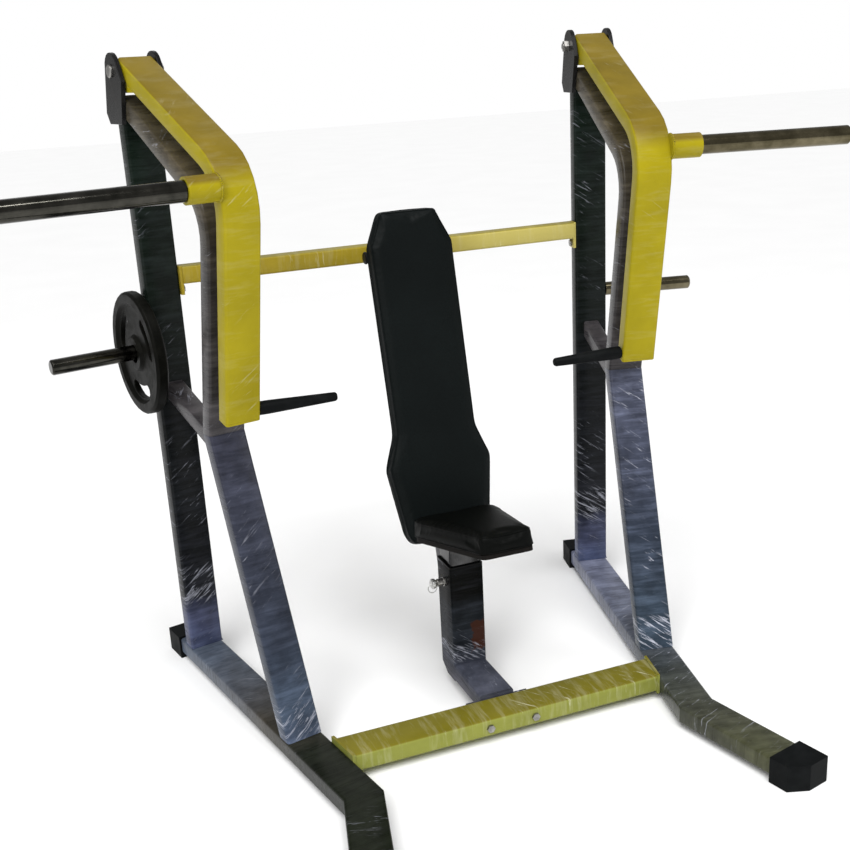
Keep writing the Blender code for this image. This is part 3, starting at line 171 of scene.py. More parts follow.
def wrapped_paint(name, along, across, reach, stops, streaks=0.5, haze=(0.20, 0.20, 0.27),
                  glints=(0.0, 0.0), rough=0.24, gloss=0.12, lit_patch=None):
    """Gloss paint under clear stretch film: wrap lines across the tube, haze, and white glints that are
    painted highlights.

    Stops are tints along the tube, which runs over the given reach: the dark paint with painted
    reflections of the lit floor and room. The last argument is (tint, lowest along, highest along, lowest
    across): a painted patch of light in that tint.
    """
    look = Look(name, specular=gloss, coat=gloss, coat_rough=0.16)
    along, across = unit(along), unit(across)
    length = look.dot(along)
    wander = look.noise(6.0, 3.0, 0.6)
    share = look.math("MULTIPLY_ADD", wander, 0.16, look.span(length, *reach, -0.08, 0.92))
    paint = look.ramp(share, stops)
    patch = look.span(look.noise(14.0, 4.0, 0.6), 0.38, 0.66)
    paint = look.mix(patch, paint, look.mix(0.45, paint, (0.0, 0.0, 0.0)))
    wraps = look.noise(1.0, 5.0, 0.62, 0.3, look.stretched(along, across, 70.0, 7.0))
    lines = look.span(wraps, 0.46, 0.72)
    # White glints on the film's creases are painted highlights.
    slant = unit(Vector(along) * 0.83 + Vector(across) * 0.56)
    side = unit(Vector(across) * 0.83 - Vector(along) * 0.56)
    creases = look.noise(1.0, 4.0, 0.7, 0.6, look.stretched(slant, side, 130.0, 12.0))
    zones = look.span(look.noise(5.5, 2.0, 0.5), 0.45, 0.62)
    glint = look.math("MULTIPLY", look.span(creases, 0.60, 0.70), zones)
    if glints[1] > glints[0]:
        near = look.math("ABSOLUTE", look.math("SUBTRACT", length, sum(glints) / 2))
        zone = look.span(near, (glints[1] - glints[0]) / 2, (glints[1] - glints[0]) / 3)
        strong = look.math("MULTIPLY", look.span(creases, 0.52, 0.62), zone)
        glint = look.math("MAXIMUM", glint, strong)
    veil = look.math("MULTIPLY", lines, 0.60 * streaks)
    values = {0: paint, 1: (2.6, 2.6, 2.6), 2: tuple(c * 0.10 for c in haze)}
    film = look.node("VectorMath", values, operation="MULTIPLY_ADD").outputs["Vector"]
    paint = look.mix(veil, paint, film)
    # Paints a patch of light in the given tint, with ragged edges.
    if lit_patch:
        tint, lowest, highest, start = lit_patch
        ragged = look.math("MULTIPLY_ADD", look.noise(45.0, 3.0, 0.6), 0.06, -0.03)
        wide = look.span(look.math("ADD", look.dot(across), ragged), start, start + 0.004)
        high = look.span(look.math("ADD", length, ragged), lowest, lowest + 0.006)
        capped = look.span(look.math("ADD", length, ragged), highest, highest - 0.006)
        area = look.math("MULTIPLY", wide, look.math("MULTIPLY", high, capped))
        paint = look.mix(look.math("MULTIPLY", area, 0.85), paint, tint)
    # Mixes the painted highlights into the paint.
    paint = look.mix(look.math("MULTIPLY", glint, 0.75 * streaks), paint, (0.62, 0.64, 0.74))
    look.set("Base Color", paint)
    look.set("Roughness", look.math("MULTIPLY_ADD", wraps, 0.30, rough - 0.10))
    height = look.math("ADD", look.math("MULTIPLY", wraps, 0.7), look.math("MULTIPLY", creases, 0.5))
    look.set("Normal", look.bump(height, 0.30, 0.0012))
    look.set("Coat Normal", look.bump(height, 0.65, 0.0020))
    return look.material


def yellow_paint(name, along, across, front, top, warm_from=0.35, wraps=0.35, pale=None):
    """Yellow powder coat under film, browner where it faces up: painted shade for the dim warm light from
    above.

    Pale is (tint, start, end): the front's tint turns to it along the tube.
    """
    look = Look(name, specular=0.08, coat=0.05, coat_rough=0.22)
    along, across = unit(along), unit(across)
    faces = look.node("SeparateXYZ", {0: look.tree.nodes["Texture Coordinate"].outputs["Normal"]})
    # Faces that point up get the top tint as painted shade.
    upward = look.span(faces.outputs["Z"], warm_from, warm_from + 0.30)
    cloud = look.noise(7.0, 4.0, 0.6)
    base = look.mix(look.span(cloud, 0.35, 0.70), front, tuple(c * 0.80 for c in front))
    if pale:
        base = look.mix(look.span(look.dot(along), *pale[1:]), base, pale[0])
    shaded_brown = look.mix(look.span(cloud, 0.30, 0.70), top, tuple(c * 0.72 for c in top))
    paint = look.mix(upward, base, shaded_brown)
    film = look.noise(1.0, 4.0, 0.6, 0.3, look.stretched(along, across, 60.0, 8.0))
    # White glints on the film's creases are painted highlights.
    slant = unit(Vector(along) * 0.8 + Vector(across) * 0.6)
    side = unit(Vector(across) * 0.8 - Vector(along) * 0.6)
    creases = look.noise(1.0, 4.0, 0.7, 0.5, look.stretched(slant, side, 120.0, 10.0))
    zones = look.span(look.noise(7.0, 2.0, 0.5), 0.50, 0.66)
    glint = look.math("MULTIPLY", look.span(creases, 0.60, 0.72), zones)
    paint = look.mix(look.math("MULTIPLY", look.span(film, 0.5, 0.75), 0.18 * wraps), paint,
                     (0.75, 0.74, 0.55))
    paint = look.mix(look.math("MULTIPLY", glint, 0.55 * wraps), paint, (0.85, 0.84, 0.62))
    chips = look.span(look.noise(60.0, 3.0, 0.6), 0.775, 0.80)
    paint = look.mix(look.math("MULTIPLY", chips, 0.55), paint, (0.10, 0.07, 0.02))
    look.set("Base Color", paint)
    look.set("Roughness", look.math("MULTIPLY_ADD", film, 0.24, 0.26))
    peel = look.noise(420.0, 2.0, 0.5)
    height = look.math("MULTIPLY_ADD", film, 0.8, look.math("MULTIPLY", creases, 0.45))
    look.set("Normal", look.bump(peel, 0.10, 0.0003, look.bump(height, 0.16, 0.0012)))
    look.set("Coat Normal", look.bump(height, 0.45, 0.0016))
    return look.material


def polished(name, along, across, dark, light, rough=0.16):
    """Chrome in the given dark and light tints, with fine lengthwise scratches and a few dull spots."""
    look = Look(name, metal=1.0)
    scratch = look.noise(1.0, 4.0, 0.7, 0.0, look.stretched(unit(across), unit(along), 900.0, 9.0))
    smudge = look.noise(18.0, 4.0, 0.6)
    tone = look.math("MULTIPLY_ADD", smudge, 0.7, look.math("MULTIPLY", scratch, 0.3))
    look.set("Base Color", look.ramp(tone, [(0.35, dark), (0.65, light)]))
    look.set("Roughness", look.math("MULTIPLY_ADD", smudge, 0.18, rough - 0.06))
    look.set("Normal", look.bump(scratch, 0.06, 0.0004))
    return look.material


def moulded(name, dark, light, rough, grain=900.0, strength=0.35, specular=0.10):
    """Moulded rubber or plastic: fine grain, scuffs and dust."""
    look = Look(name, specular=specular)
    fine = look.noise(grain, 3.0, 0.6)
    dust = look.span(look.noise(24.0, 5.0, 0.65), 0.45, 0.75)
    scuff = look.span(look.noise(110.0, 4.0, 0.7), 0.62, 0.74)
    look.set("Base Color", look.mix(look.math("MULTIPLY", scuff, 0.35),
                                    look.mix(dust, dark, light), tuple(c * 2.2 for c in light)))
    look.set("Roughness", look.math("MULTIPLY_ADD", dust, 0.18, rough - 0.09))
    look.set("Normal", look.bump(fine, strength, 0.0003, look.bump(dust, 0.10, 0.0006)))
    return look.material


def vinyl_look(name, dark, light):
    """Soft black vinyl: pebbled leather grain, slight creases and a dull sheen."""
    look = Look(name, rough=0.46, specular=0.07)
    pebbles = look.cells(620.0, "SMOOTH_F1")
    veins = look.noise(300.0, 3.0, 0.6, 0.8)
    crease = look.noise(1.0, 4.0, 0.65, 0.8, look.stretched((0, 0, 1), (1, 0, 0), 26.0, 9.0))
    shade = look.noise(5.0, 3.0, 0.55)
    tone = look.mix(look.span(shade, 0.3, 0.7), dark, light)
    look.set("Base Color", look.mix(look.span(pebbles, 0.0, 0.6), tone, tuple(c * 0.6 for c in dark)))
    look.set("Roughness", look.math("MULTIPLY_ADD", veins, 0.20, 0.38))
    grain = look.math("MULTIPLY_ADD", veins, 0.5, look.math("MULTIPLY", pebbles, -0.6))
    look.set("Normal", look.bump(grain, 0.35, 0.0005, look.bump(crease, 0.12, 0.0020)))
    return look.material


def plywood(name):
    """Dark stained plywood: plies across its thickness and grain on its faces."""
    look = Look(name, rough=0.7, specular=0.10)
    grain = look.noise(1.0, 5.0, 0.6, 0.6, look.stretched((1, 0, 0), (0, 0, 1), 160.0, 6.0))
    blotch = look.noise(9.0, 3.0, 0.5)
    wood = look.ramp(grain, [(0.30, (0.0035, 0.0030, 0.0025)), (0.70, (0.0095, 0.0075, 0.0060))])
    look.set("Base Color", look.mix(look.span(blotch, 0.4, 0.7), wood, (0.005, 0.004, 0.0035)))
    look.set("Roughness", look.math("MULTIPLY_ADD", grain, 0.2, 0.6))
    look.set("Normal", look.bump(grain, 0.25, 0.0005))
    return look.material


def zinc(name, tint=(0.40, 0.39, 0.37)):
    """Zinc plated steel with crystalline dull patches."""
    look = Look(name, metal=1.0)
    crystal = look.cells(260.0)
    patch = look.noise(60.0, 4.0, 0.6)
    dark = tuple(c * 0.5 for c in tint)
    look.set("Base Color", look.mix(look.span(patch, 0.35, 0.7), tint, dark))
    look.set("Roughness", look.math("MULTIPLY_ADD", crystal, 0.35, 0.22))
    look.set("Normal", look.bump(patch, 0.15, 0.0004))
    return look.material


def floor_look():
    """A pale matt floor with the faintest mottle."""
    look = Look("pale_floor", rough=0.9, specular=0.15)
    mottle = look.noise(1.6, 4.0, 0.5)
    look.set("Base Color", look.ramp(mottle, [(0.3, (0.90, 0.90, 0.90)), (0.7, (0.92, 0.92, 0.92))]))
    look.set("Roughness", look.math("MULTIPLY_ADD", mottle, 0.1, 0.85))
    look.set("Normal", look.bump(look.noise(160.0, 2.0, 0.5), 0.04, 0.0005))
    return look.material


# ---------------------------------------------------------------- pieces

def body_of(node):
    return NODES[node]["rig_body"]


def add_piece(name, shape, look, body, smooth=True):
    """Makes an object from a bmesh, gives it its material and lets it ride."""
    mesh = bpy.data.meshes.new(name)
    bmesh.ops.recalc_face_normals(shape, faces=shape.faces)
    shape.to_mesh(mesh)
    shape.free()
    mesh.materials.append(look)
    piece = bpy.data.objects.new(name, mesh)
    bpy.context.scene.collection.objects.link(piece)
    if smooth:
        mesh.shade_smooth()
        mesh.set_sharp_from_angle(angle=SMOOTH_ANGLE)
    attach(piece, body)
    return piece


def bevelled(piece, width, segments=2):
    """Rounds a piece's sharp edges so that they catch the light."""
    rounding = piece.modifiers.new("edges", "BEVEL")
    rounding.width = width
    rounding.segments = segments
    rounding.limit_method = "ANGLE"
    rounding.angle_limit = SMOOTH_ANGLE
    rounding.harden_normals = True
    rounding.use_clamp_overlap = True


def solid_copy(node):
    """A CAD node's shape as a bmesh, with its triangles joined up again."""
    shape = bmesh.new()
    shape.from_mesh(NODES[node].data)
    bmesh.ops.remove_doubles(shape, verts=shape.verts, dist=WELD_GAP)
    bmesh.ops.dissolve_limit(shape, angle_limit=math.radians(0.4), verts=shape.verts,
                             edges=shape.edges)
    return shape


def refined(node, look, edge=0.0012, segments=2):
    """Stands for a CAD node with the same shape and rounded edges."""
    shape = solid_copy(node)
    piece = add_piece(node + "_fine", shape, look, body_of(node))
    if "custom_normal" in piece.data.attributes:
        piece.data.attributes.remove(piece.data.attributes["custom_normal"])
    if edge:
        bevelled(piece, edge, segments)
    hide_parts(node)
    return piece


def painted(node, look):
    """Keeps a CAD node's own mesh, with a new material."""
    for place in NODES[node].material_slots:
        place.material = look


# ---------------------------------------------------------------- finishes for each node

def side_directions(side):
    """The side frame's run on the floor, towards the front, and its outward direction."""
    run = (-side * math.sin(TOE_IN), -math.cos(TOE_IN), 0)
    out = (side * math.cos(TOE_IN), -math.sin(TOE_IN), 0)
    return run, out


UP = (0, 0, 1)
# Horn tints by side, as painted reflections: the chrome is darkened for the dark surroundings it reflects,
# and the right horn is olive-brown for what it reflects.
HORN_REFLECTION_TINTS = {True: ((0.020, 0.020, 0.017), (0.075, 0.072, 0.062)),
              False: ((0.070, 0.060, 0.034), (0.190, 0.165, 0.105))}
FRONT_YELLOW = (0.36, 0.295, 0.008)
# Painted shade for the arms' upward faces.
TOP_SHADE_BROWN = (0.205, 0.145, 0.014)
HAZE = (0.20, 0.20, 0.27)

plate_black = moulded("ear_black", (0.006, 0.006, 0.006), (0.013, 0.012, 0.011), 0.36, 500.0, 0.2,
                      0.16)
rubber = moulded("black_rubber", (0.0035, 0.0042, 0.0045), (0.0085, 0.0095, 0.0100), 0.62, specular=0.06)
plate_rubber = moulded("plate_rubber", (0.0022, 0.0023, 0.0016), (0.0060, 0.0060, 0.0045), 0.50,
                       700.0, 0.4, 0.06)
nylon = moulded("black_nylon", (0.004, 0.004, 0.004), (0.010, 0.010, 0.010), 0.42, 1200.0, 0.2)
seat_vinyl = vinyl_look("seat_vinyl", (0.0012, 0.0016, 0.0012), (0.0036, 0.0044, 0.0038))
back_vinyl = vinyl_look("back_vinyl", (0.0042, 0.0060, 0.0060), (0.0075, 0.0108, 0.0108))
board = plywood("stained_plywood")
steel = zinc("zinc_steel")
bright = zinc("bright_pin", (0.78, 0.78, 0.76))

arms, rails = {}, {}
for prefix, side in SIDES:
    run, out = side_directions(side)
    left = side < 0
    # Upright tints: the dark paint, with a painted reflection of the floor making the lower end
    # blue-purple.
    upright_reflection_stops = [(0.0, (0.090, 0.115, 0.215)), (0.10, (0.060, 0.068, 0.120)),
                     (0.15, (0.008, 0.009, 0.012)), (0.45, (0.004, 0.005, 0.005)),
                     (0.70, (0.007, 0.011, 0.008)), (1.0, (0.006, 0.012, 0.008))]
    upright = wrapped_paint(prefix + "upright_wrap", UP, out, (0.0, 1.7), upright_reflection_stops, 0.55,
                            glints=(0.20, 0.34), gloss=0.07)
    # Leg tints: the dark paint, with painted reflections making it lighter and bluer near the floor on the
    # left and near the top on the right.
    if left:
        leg_reflection_stops = [(0.0, (0.075, 0.095, 0.150)), (0.15, (0.052, 0.072, 0.108)),
                     (0.35, (0.026, 0.033, 0.050)), (0.7, (0.034, 0.038, 0.056)),
                     (1.0, (0.038, 0.040, 0.060))]
    else:
        leg_reflection_stops = [(0.0, (0.040, 0.062, 0.090)), (0.15, (0.034, 0.050, 0.072)),
                     (0.45, (0.026, 0.034, 0.052)), (0.7, (0.045, 0.052, 0.078)),
                     (1.0, (0.085, 0.094, 0.140))]
    leg = wrapped_paint(prefix + "leg_wrap", UP, out, (0.0, 0.85), leg_reflection_stops,
                        0.6 if left else 1.0, HAZE, (0.06, 0.16))
    # Rail tints: the dark paint, with painted reflections: blue-grey at the rear, brown and olive towards
    # the front.
    if left:
        rail_reflection_stops = [(0.0, (0.095, 0.120, 0.165)), (0.22, (0.080, 0.090, 0.110)),
                      (0.38, (0.052, 0.046, 0.036)), (0.52, (0.012, 0.014, 0.009)),
                      (1.0, (0.008, 0.011, 0.005))]
    else:
        rail_reflection_stops = [(0.0, (0.190, 0.205, 0.290)), (0.30, (0.140, 0.155, 0.210)),
                      (0.55, (0.034, 0.040, 0.040)), (0.75, (0.050, 0.052, 0.034)),
                      (1.0, (0.075, 0.078, 0.030))]
    rail = wrapped_paint(prefix + "rail_wrap", run, out, (-0.72, 0.70), rail_reflection_stops, 0.35 if left else 0.6,
                         (0.22, 0.22, 0.24), gloss=0.05 if left else 0.12)
    # Top post tints: the dark paint, with a painted warm reflection, browner higher up.
    post_reflection_stops = [(0.0, (0.050, 0.046, 0.050)), (0.5, (0.040, 0.036, 0.034)),
                  (0.8, (0.075, 0.062, 0.040)), (1.0, (0.060, 0.052, 0.036))]
    post = wrapped_paint(prefix + "post_wrap", UP, out, (0.83, 1.68), post_reflection_stops, 0.8,
                         (0.26, 0.24, 0.20))
    arm = yellow_paint(prefix + "arm_yellow", UP, out, FRONT_YELLOW, TOP_SHADE_BROWN)
    arms[prefix], rails[prefix] = arm, rail
    dark, light = HORN_REFLECTION_TINTS[left]
    chrome = polished(prefix + "horn_chrome", out, UP, dark, light, 0.11)
    for node, look in (("upright", upright), ("front_leg", leg), ("rail", rail), ("top_post", post),
                       ("brace", post), ("press_arm", arm), ("arm_end_cap", arm),
                       ("weight_horn", chrome), ("storage_horn", chrome)):
        refined(prefix + node, look, 0.0010)
    for node, look in (("front_boot", rubber), ("rear_boot", rubber), ("outer_ear", plate_black),
                       ("inner_ear", plate_black), ("handle_grip", rubber), ("arm_bumper", rubber),
                       ("cross_plug", nylon)):
        refined(prefix + node, look, 0.0016, 3)
    for node in ("pivot_shaft", "pivot_nut", "beam_bolt", "pedestal_bolt"):
        refined(prefix + node, steel, 0.0007)
    for node in ("outer_bearing", "inner_bearing"):
        painted(prefix + node, nylon)

ACROSS = (1, 0, 0)
# For both beams the second tint is painted shade on their upward faces.
low_yellow = yellow_paint("low_beam_yellow", ACROSS, (0, 1, 0), (0.26, 0.275, 0.055),
                          (0.180, 0.155, 0.013), 0.5, 1.0)
high_yellow = yellow_paint("high_beam_yellow", ACROSS, (0, 1, 0), (0.40, 0.30, 0.026),
                           (0.34, 0.28, 0.050), 0.5, 0.6, ((0.48, 0.41, 0.115), 0.0, 0.30))
# Pedestal tints: the dark paint, with a painted reflection of the floor making it lighter and bluer low
# down.
sleeve_reflection_stops = [(0.0, (0.075, 0.072, 0.085)), (0.18, (0.050, 0.055, 0.075)),
                (0.30, (0.020, 0.024, 0.030)), (0.62, (0.014, 0.017, 0.021)),
                (0.72, (0.0022, 0.0026, 0.0022)), (1.0, (0.0020, 0.0024, 0.0018))]
# The pedestal's reddish-brown patch low on its front, given last, is a painted patch of light.
pedestal = wrapped_paint("pedestal_wrap", UP, ACROSS, (0.02, 0.40), sleeve_reflection_stops, 0.7,
                         glints=(0.09, 0.15), gloss=0.03, lit_patch=((0.055, 0.020, 0.012), 0.12, 0.22, 0.008))
spine_stops = [(0.0, (0.020, 0.020, 0.026)), (1.0, (0.014, 0.015, 0.020))]
spine = wrapped_paint("spine_wrap", UP, ACROSS, (0.0, 1.3), spine_stops, 0.5)
for node, look in (("low_beam", low_yellow), ("high_beam", high_yellow), ("pedestal", pedestal),
                   ("back_spine", spine), ("back_standoff", spine), ("seat_plate", spine)):
    refined(node, look, 0.0010)
post_chrome = polished("post_chrome", UP, ACROSS, (0.03, 0.03, 0.03), (0.09, 0.09, 0.09))
refined("seat_post", post_chrome, 0.0010)
for node in ("seat_board", "back_board"):
    refined(node, board, 0.0012)
refined("weight_plate", plate_rubber, 0.0022, 3)
refined("sleeve_bushing", nylon, 0.0006)
refined("pop_pin_housing", steel, 0.0006)
refined("pop_pin", bright, 0.0006)


# ---------------------------------------------------------------- pads

def pad_frame(origin, tilt):
    return Matrix.Translation(origin) @ Matrix.Rotation(tilt, 4, "X")


def rear_outline(node, place, depth_axis, depth_sign, thickness):
    """A pad's outline on its rear face, in order, read from the CAD solid."""
    shape = solid_copy(node)
    inverse = place.inverted()
    spot = {vertex: inverse @ vertex.co for vertex in shape.verts}
    rear = {v for v, p in spot.items() if abs(depth_sign * p[depth_axis] - thickness) < 0.001}
    flat = 2 if depth_axis == 1 else 1
    links = {}
    for edge in shape.edges:
        first, second = edge.verts
        if first in rear and second in rear:
            sides = [all(v in rear for v in face.verts) for face in edge.link_faces]
            if sides.count(True) == 1:
                links.setdefault(first, []).append(second)
                links.setdefault(second, []).append(first)
    start = next(iter(links))
    loop, before, here = [start], None, start
    while True:
        following = [v for v in links[here] if v is not before]
        before, here = here, following[0]
        if here is start:
            break
        loop.append(here)
    points = [Vector((spot[v].x, spot[v][flat])) for v in loop]
    shape.free()
    return points


def even(points, step):
    """A closed outline resampled at nearly equal steps, keeping its corners."""
    result = []
    for first, second in zip(points, points[1:] + points[:1]):
        count = max(1, round((second - first).length / step))
        result += [first.lerp(second, index / count) for index in range(count)]
    return result


def softened(points, passes):
    """The outline with its corners eased by averaging each point with its neighbours."""
    for _ in range(passes):
        points = [(points[i - 1] + points[i] * 2 + points[(i + 1) % len(points)]) / 4
                  for i in range(len(points))]
    return points


def inset(points, distance):
    """The outline moved inwards."""
    area = sum(a.cross(b) for a, b in zip(points, points[1:] + points[:1]))
    turn = 1 if area > 0 else -1
    result = []
    for index, point in enumerate(points):
        ahead = (points[(index + 1) % len(points)] - points[index - 1]).normalized()
        result.append(point + Vector((-ahead.y, ahead.x)) * turn * distance)
    return result


def pad_mesh(outline, front, rear, edge, to_world):
    """A closed slab of foam: flat at the rear, its front edge rounded."""
    shape = bmesh.new()
    rings = []
    levels = [(front, edge), (front + edge * 0.3, edge * 0.3), (front + edge, 0.0),
              (rear - 0.003, 0.0), (rear, 0.002)]
    for depth, margin in levels:
        ring = inset(outline, margin) if margin else outline
        rings.append([shape.verts.new(to_world(point, depth)) for point in ring])
    count = len(outline)
    for before, after in zip(rings, rings[1:]):
        for index in range(count):
            following = (index + 1) % count
            shape.faces.new((before[index], before[following], after[following], after[index]))
    shape.faces.new(rings[0])
    shape.faces.new(rings[-1])
    bmesh.ops.recalc_face_normals(shape, faces=shape.faces)
    return shape


def inflate(piece, fixed, cap, pressure=4.0):
    """Blows the pad up with Cloth, holds the fixed vertices and softly limits the swelling."""
    rest = [vertex.co.copy() for vertex in piece.data.vertices]
    group = piece.vertex_groups.new(name="sewn")
    for index, point in enumerate(rest):
        hold = fixed(point)
        if hold > 0:
            group.add([index], hold, "REPLACE")
    cloth = piece.modifiers.new("cloth", "CLOTH")
    settings = cloth.settings
    settings.quality = 5
    settings.mass = 0.4
    settings.tension_stiffness = 12
    settings.compression_stiffness = 12
    settings.shear_stiffness = 6
    settings.bending_stiffness = 0.6
    settings.use_pressure = True
    settings.uniform_pressure_force = pressure
    settings.effector_weights.gravity = 0
    settings.vertex_group_mass = "sewn"
    cloth.collision_settings.use_collision = False
    for step in range(1, 21):
        bpy.context.scene.frame_set(step)
    depsgraph = bpy.context.evaluated_depsgraph_get()
    swollen = piece.evaluated_get(depsgraph).data
    moved = [vertex.co.copy() for vertex in swollen.vertices]
    piece.modifiers.remove(cloth)
    bpy.context.scene.frame_set(1)
    for vertex, start, end in zip(piece.data.vertices, rest, moved):
        shift = end - start
        length = shift.length
        if length > 1e-7:
            vertex.co = start + shift / length * cap * math.tanh(length / cap)
    piece.data.update()


def voxel_copy(piece, size):
    """Replaces a piece's mesh with an even remesh of itself."""
    remesh = piece.modifiers.new("remesh", "REMESH")
    remesh.mode = "VOXEL"
    remesh.voxel_size = size
    depsgraph = bpy.context.evaluated_depsgraph_get()
    piece.data = bpy.data.meshes.new_from_object(piece.evaluated_get(depsgraph))
    piece.modifiers.clear()


def cord_along(points, radius, name, look, body, sides=8):
    """A closed round cord through points, for piping."""
    shape = bmesh.new()
    rings = []
    count = len(points)
    for index, point in enumerate(points):
        ahead = (points[(index + 1) % count] - points[index - 1]).normalized()
        reference = Vector((0, 0, 1)) if abs(ahead.z) < 0.9 else Vector((0, 1, 0))
        first = ahead.cross(reference).normalized()
        second = ahead.cross(first)
        rings.append([shape.verts.new(point + (first * math.cos(math.tau * k / sides)
                                               + second * math.sin(math.tau * k / sides)) * radius)
                      for k in range(sides)])
    for index in range(count):
        before, after = rings[index], rings[(index + 1) % count]
        for k in range(sides):
            following = (k + 1) % sides
            shape.faces.new((before[k], before[following], after[following], after[k]))
    add_piece(name, shape, look, body)


def upholster(node, look, origin, tilt, depth_axis, depth_sign, crown, edge, cap):
    """A cloth-simulated pad with a sewn welt round its front edge."""
    place = pad_frame(origin, tilt)
    inverse = place.inverted()
    thickness = max(depth_sign * (inverse @ vertex.co)[depth_axis]
                    for vertex in NODES[node].data.vertices)
    outline = rear_outline(node, place, depth_axis, depth_sign, thickness)
    outline = inset(softened(even(outline, 0.007), 2), 0.0015)

    def to_world(point, depth):
        if depth_axis == 1:
            return place @ Vector((point.x, depth * depth_sign, point.y))
        return place @ Vector((point.x, point.y, depth * depth_sign))

    shape = pad_mesh(outline, crown, thickness, edge, to_world)
    piece = add_piece(node + "_cover", shape, look, body_of(node))
    voxel_copy(piece, 0.005)

    def fixed(point):
        return 1.0 if (inverse @ point)[depth_axis] * depth_sign > thickness - 0.005 else 0.0

    inflate(piece, fixed, cap)
    piece.data.materials.clear()
    piece.data.materials.append(look)
    piece.data.shade_smooth()
    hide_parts(node)
    skin_tree = BVHTree.FromObject(piece, bpy.context.evaluated_depsgraph_get())
    for name, depth in (("welt", crown + edge * 0.45), ("hem", thickness - 0.004)):
        margin = edge * 0.18 if name == "welt" else 0.0
        path = []
        for point in inset(outline, margin):
            spot, normal, _, _ = skin_tree.find_nearest(to_world(point, depth))
            path.append(spot + normal * WELT_RADIUS * 0.25)
        cord_along(softened(path, 2), WELT_RADIUS, f"{node}_{name}", look, body_of(node))
    finer = piece.modifiers.new("finer", "SUBSURF")
    finer.levels = finer.render_levels = 1


WELT_RADIUS = 0.0016
upholster("seat_pad", seat_vinyl, SEAT_ORIGIN, SEAT_TILT, 2, -1, 0.005, 0.011, 0.006)
upholster("back_pad", back_vinyl, BACK_ORIGIN, BACK_RECLINE, 1, 1, 0.004, 0.008, 0.005)


# ---------------------------------------------------------------- hardware

def turned(name, origin, direction, profile, look, body, steps=32):
    """A closed turned piece. Its profile is (radius, distance, flats) along the direction."""
    axis = Vector(direction).normalized()
    first = axis.orthogonal().normalized()
    second = axis.cross(first)
    shape = bmesh.new()
    rings = []
    for radius, along, flats in profile:
        centre = Vector(origin) + axis * along
        if radius == 0:
            rings.append([shape.verts.new(centre)])
            continue
        ring = []
        for index in range(steps):
            angle = math.tau * index / steps
            reach = radius
            if flats:
                sector = math.tau / flats
                reach = radius / math.cos((angle % sector) - sector / 2)
            ring.append(shape.verts.new(centre + (first * math.cos(angle)
                                                  + second * math.sin(angle)) * reach))
        rings.append(ring)
    for before, after in zip(rings, rings[1:]):
        for index in range(steps):
            following = (index + 1) % steps
            corners = [before[index % len(before)], before[following % len(before)],
                       after[following % len(after)], after[index % len(after)]]
            corners = list(dict.fromkeys(corners))
            if len(corners) > 2:
                shape.faces.new(corners)
    add_piece(name, shape, look, body)


def pad_screw(name, spot, direction, body):
    """A washer and a button head with a hex socket."""
    profile = [(0, 0, 0), (0.0085, 0, 0), (0.0088, 0.0004, 0), (0.0085, 0.0012, 0),
               (0.0066, 0.0012, 0), (0.0066, 0.0018, 0), (0.0060, 0.0036, 0), (0.0046, 0.0048, 0),
               (0.0030, 0.0052, 0), (0.0022, 0.0052, 6), (0.0021, 0.0026, 6), (0, 0.0022, 0)]
    turned(name, spot, direction, profile, steel, body, 36)


def local_spots(node, place):
    inverse = place.inverted()
    return [inverse @ vertex.co for vertex in NODES[node].data.vertices]


SCREW_GAP = 0.0001
SEAT_SCREW_END = 0.020       # from the seat plate's ends
SEAT_SCREW_SIDE = 0.014      # from its sides
BACK_SCREW_SIDE = 0.016      # from the sides of the back's plates


def screws():
    """The screws that hold the pads to their plates."""
    place = pad_frame(SEAT_ORIGIN, SEAT_TILT)
    spots = local_spots("seat_plate", place)
    half = max(spot.x for spot in spots)
    front, rear = min(spot.y for spot in spots), max(spot.y for spot in spots)
    under = min(spot.z for spot in spots)
    down = place.to_3x3() @ Vector((0, 0, -1))
    ends = (front + SEAT_SCREW_END, rear - SEAT_SCREW_END)
    for index, (y, x) in enumerate((y, x) for y in ends for x in (-1, 1)):
        spot = place @ Vector((x * (half - SEAT_SCREW_SIDE), y, under - SCREW_GAP))
        pad_screw(f"seat_screw_{index}", spot, down, "seat")
    place = pad_frame(BACK_ORIGIN, BACK_RECLINE)
    half = max(spot.x for spot in local_spots("back_spine", place))
    wings = [spot for spot in local_spots("back_spine", place) if abs(spot.x) > half - 0.001]
    behind = max(spot.y for spot in wings)
    levels = sorted({round(spot.z, 3) for spot in wings})
    middles = [(levels[0] + levels[1]) / 2, (levels[-2] + levels[-1]) / 2]
    back = place.to_3x3() @ Vector((0, 1, 0))
    index = 0
    for level in middles:
        for x in (-1, 1):
            spot = place @ Vector((x * (half - BACK_SCREW_SIDE), behind + SCREW_GAP, level))
            pad_screw(f"back_screw_{index}", spot, back, "base")
            index += 1


def ring_of(centre, first, second, radius, wire, name, look, body, steps=48, sides=12):
    """A closed wire ring."""
    shape = bmesh.new()
    axis = first.cross(second)
    rings = []
    for index in range(steps):
        angle = math.tau * index / steps
        out = first * math.cos(angle) + second * math.sin(angle)
        rings.append([shape.verts.new(centre + out * (radius + wire * math.cos(math.tau * k / sides))
                                      + axis * wire * math.sin(math.tau * k / sides))
                      for k in range(sides)])
    for index in range(steps):
        before, after = rings[index], rings[(index + 1) % steps]
        for k in range(sides):
            following = (k + 1) % sides
            shape.faces.new((before[k], before[following], after[following], after[k]))
    add_piece(name, shape, look, body)


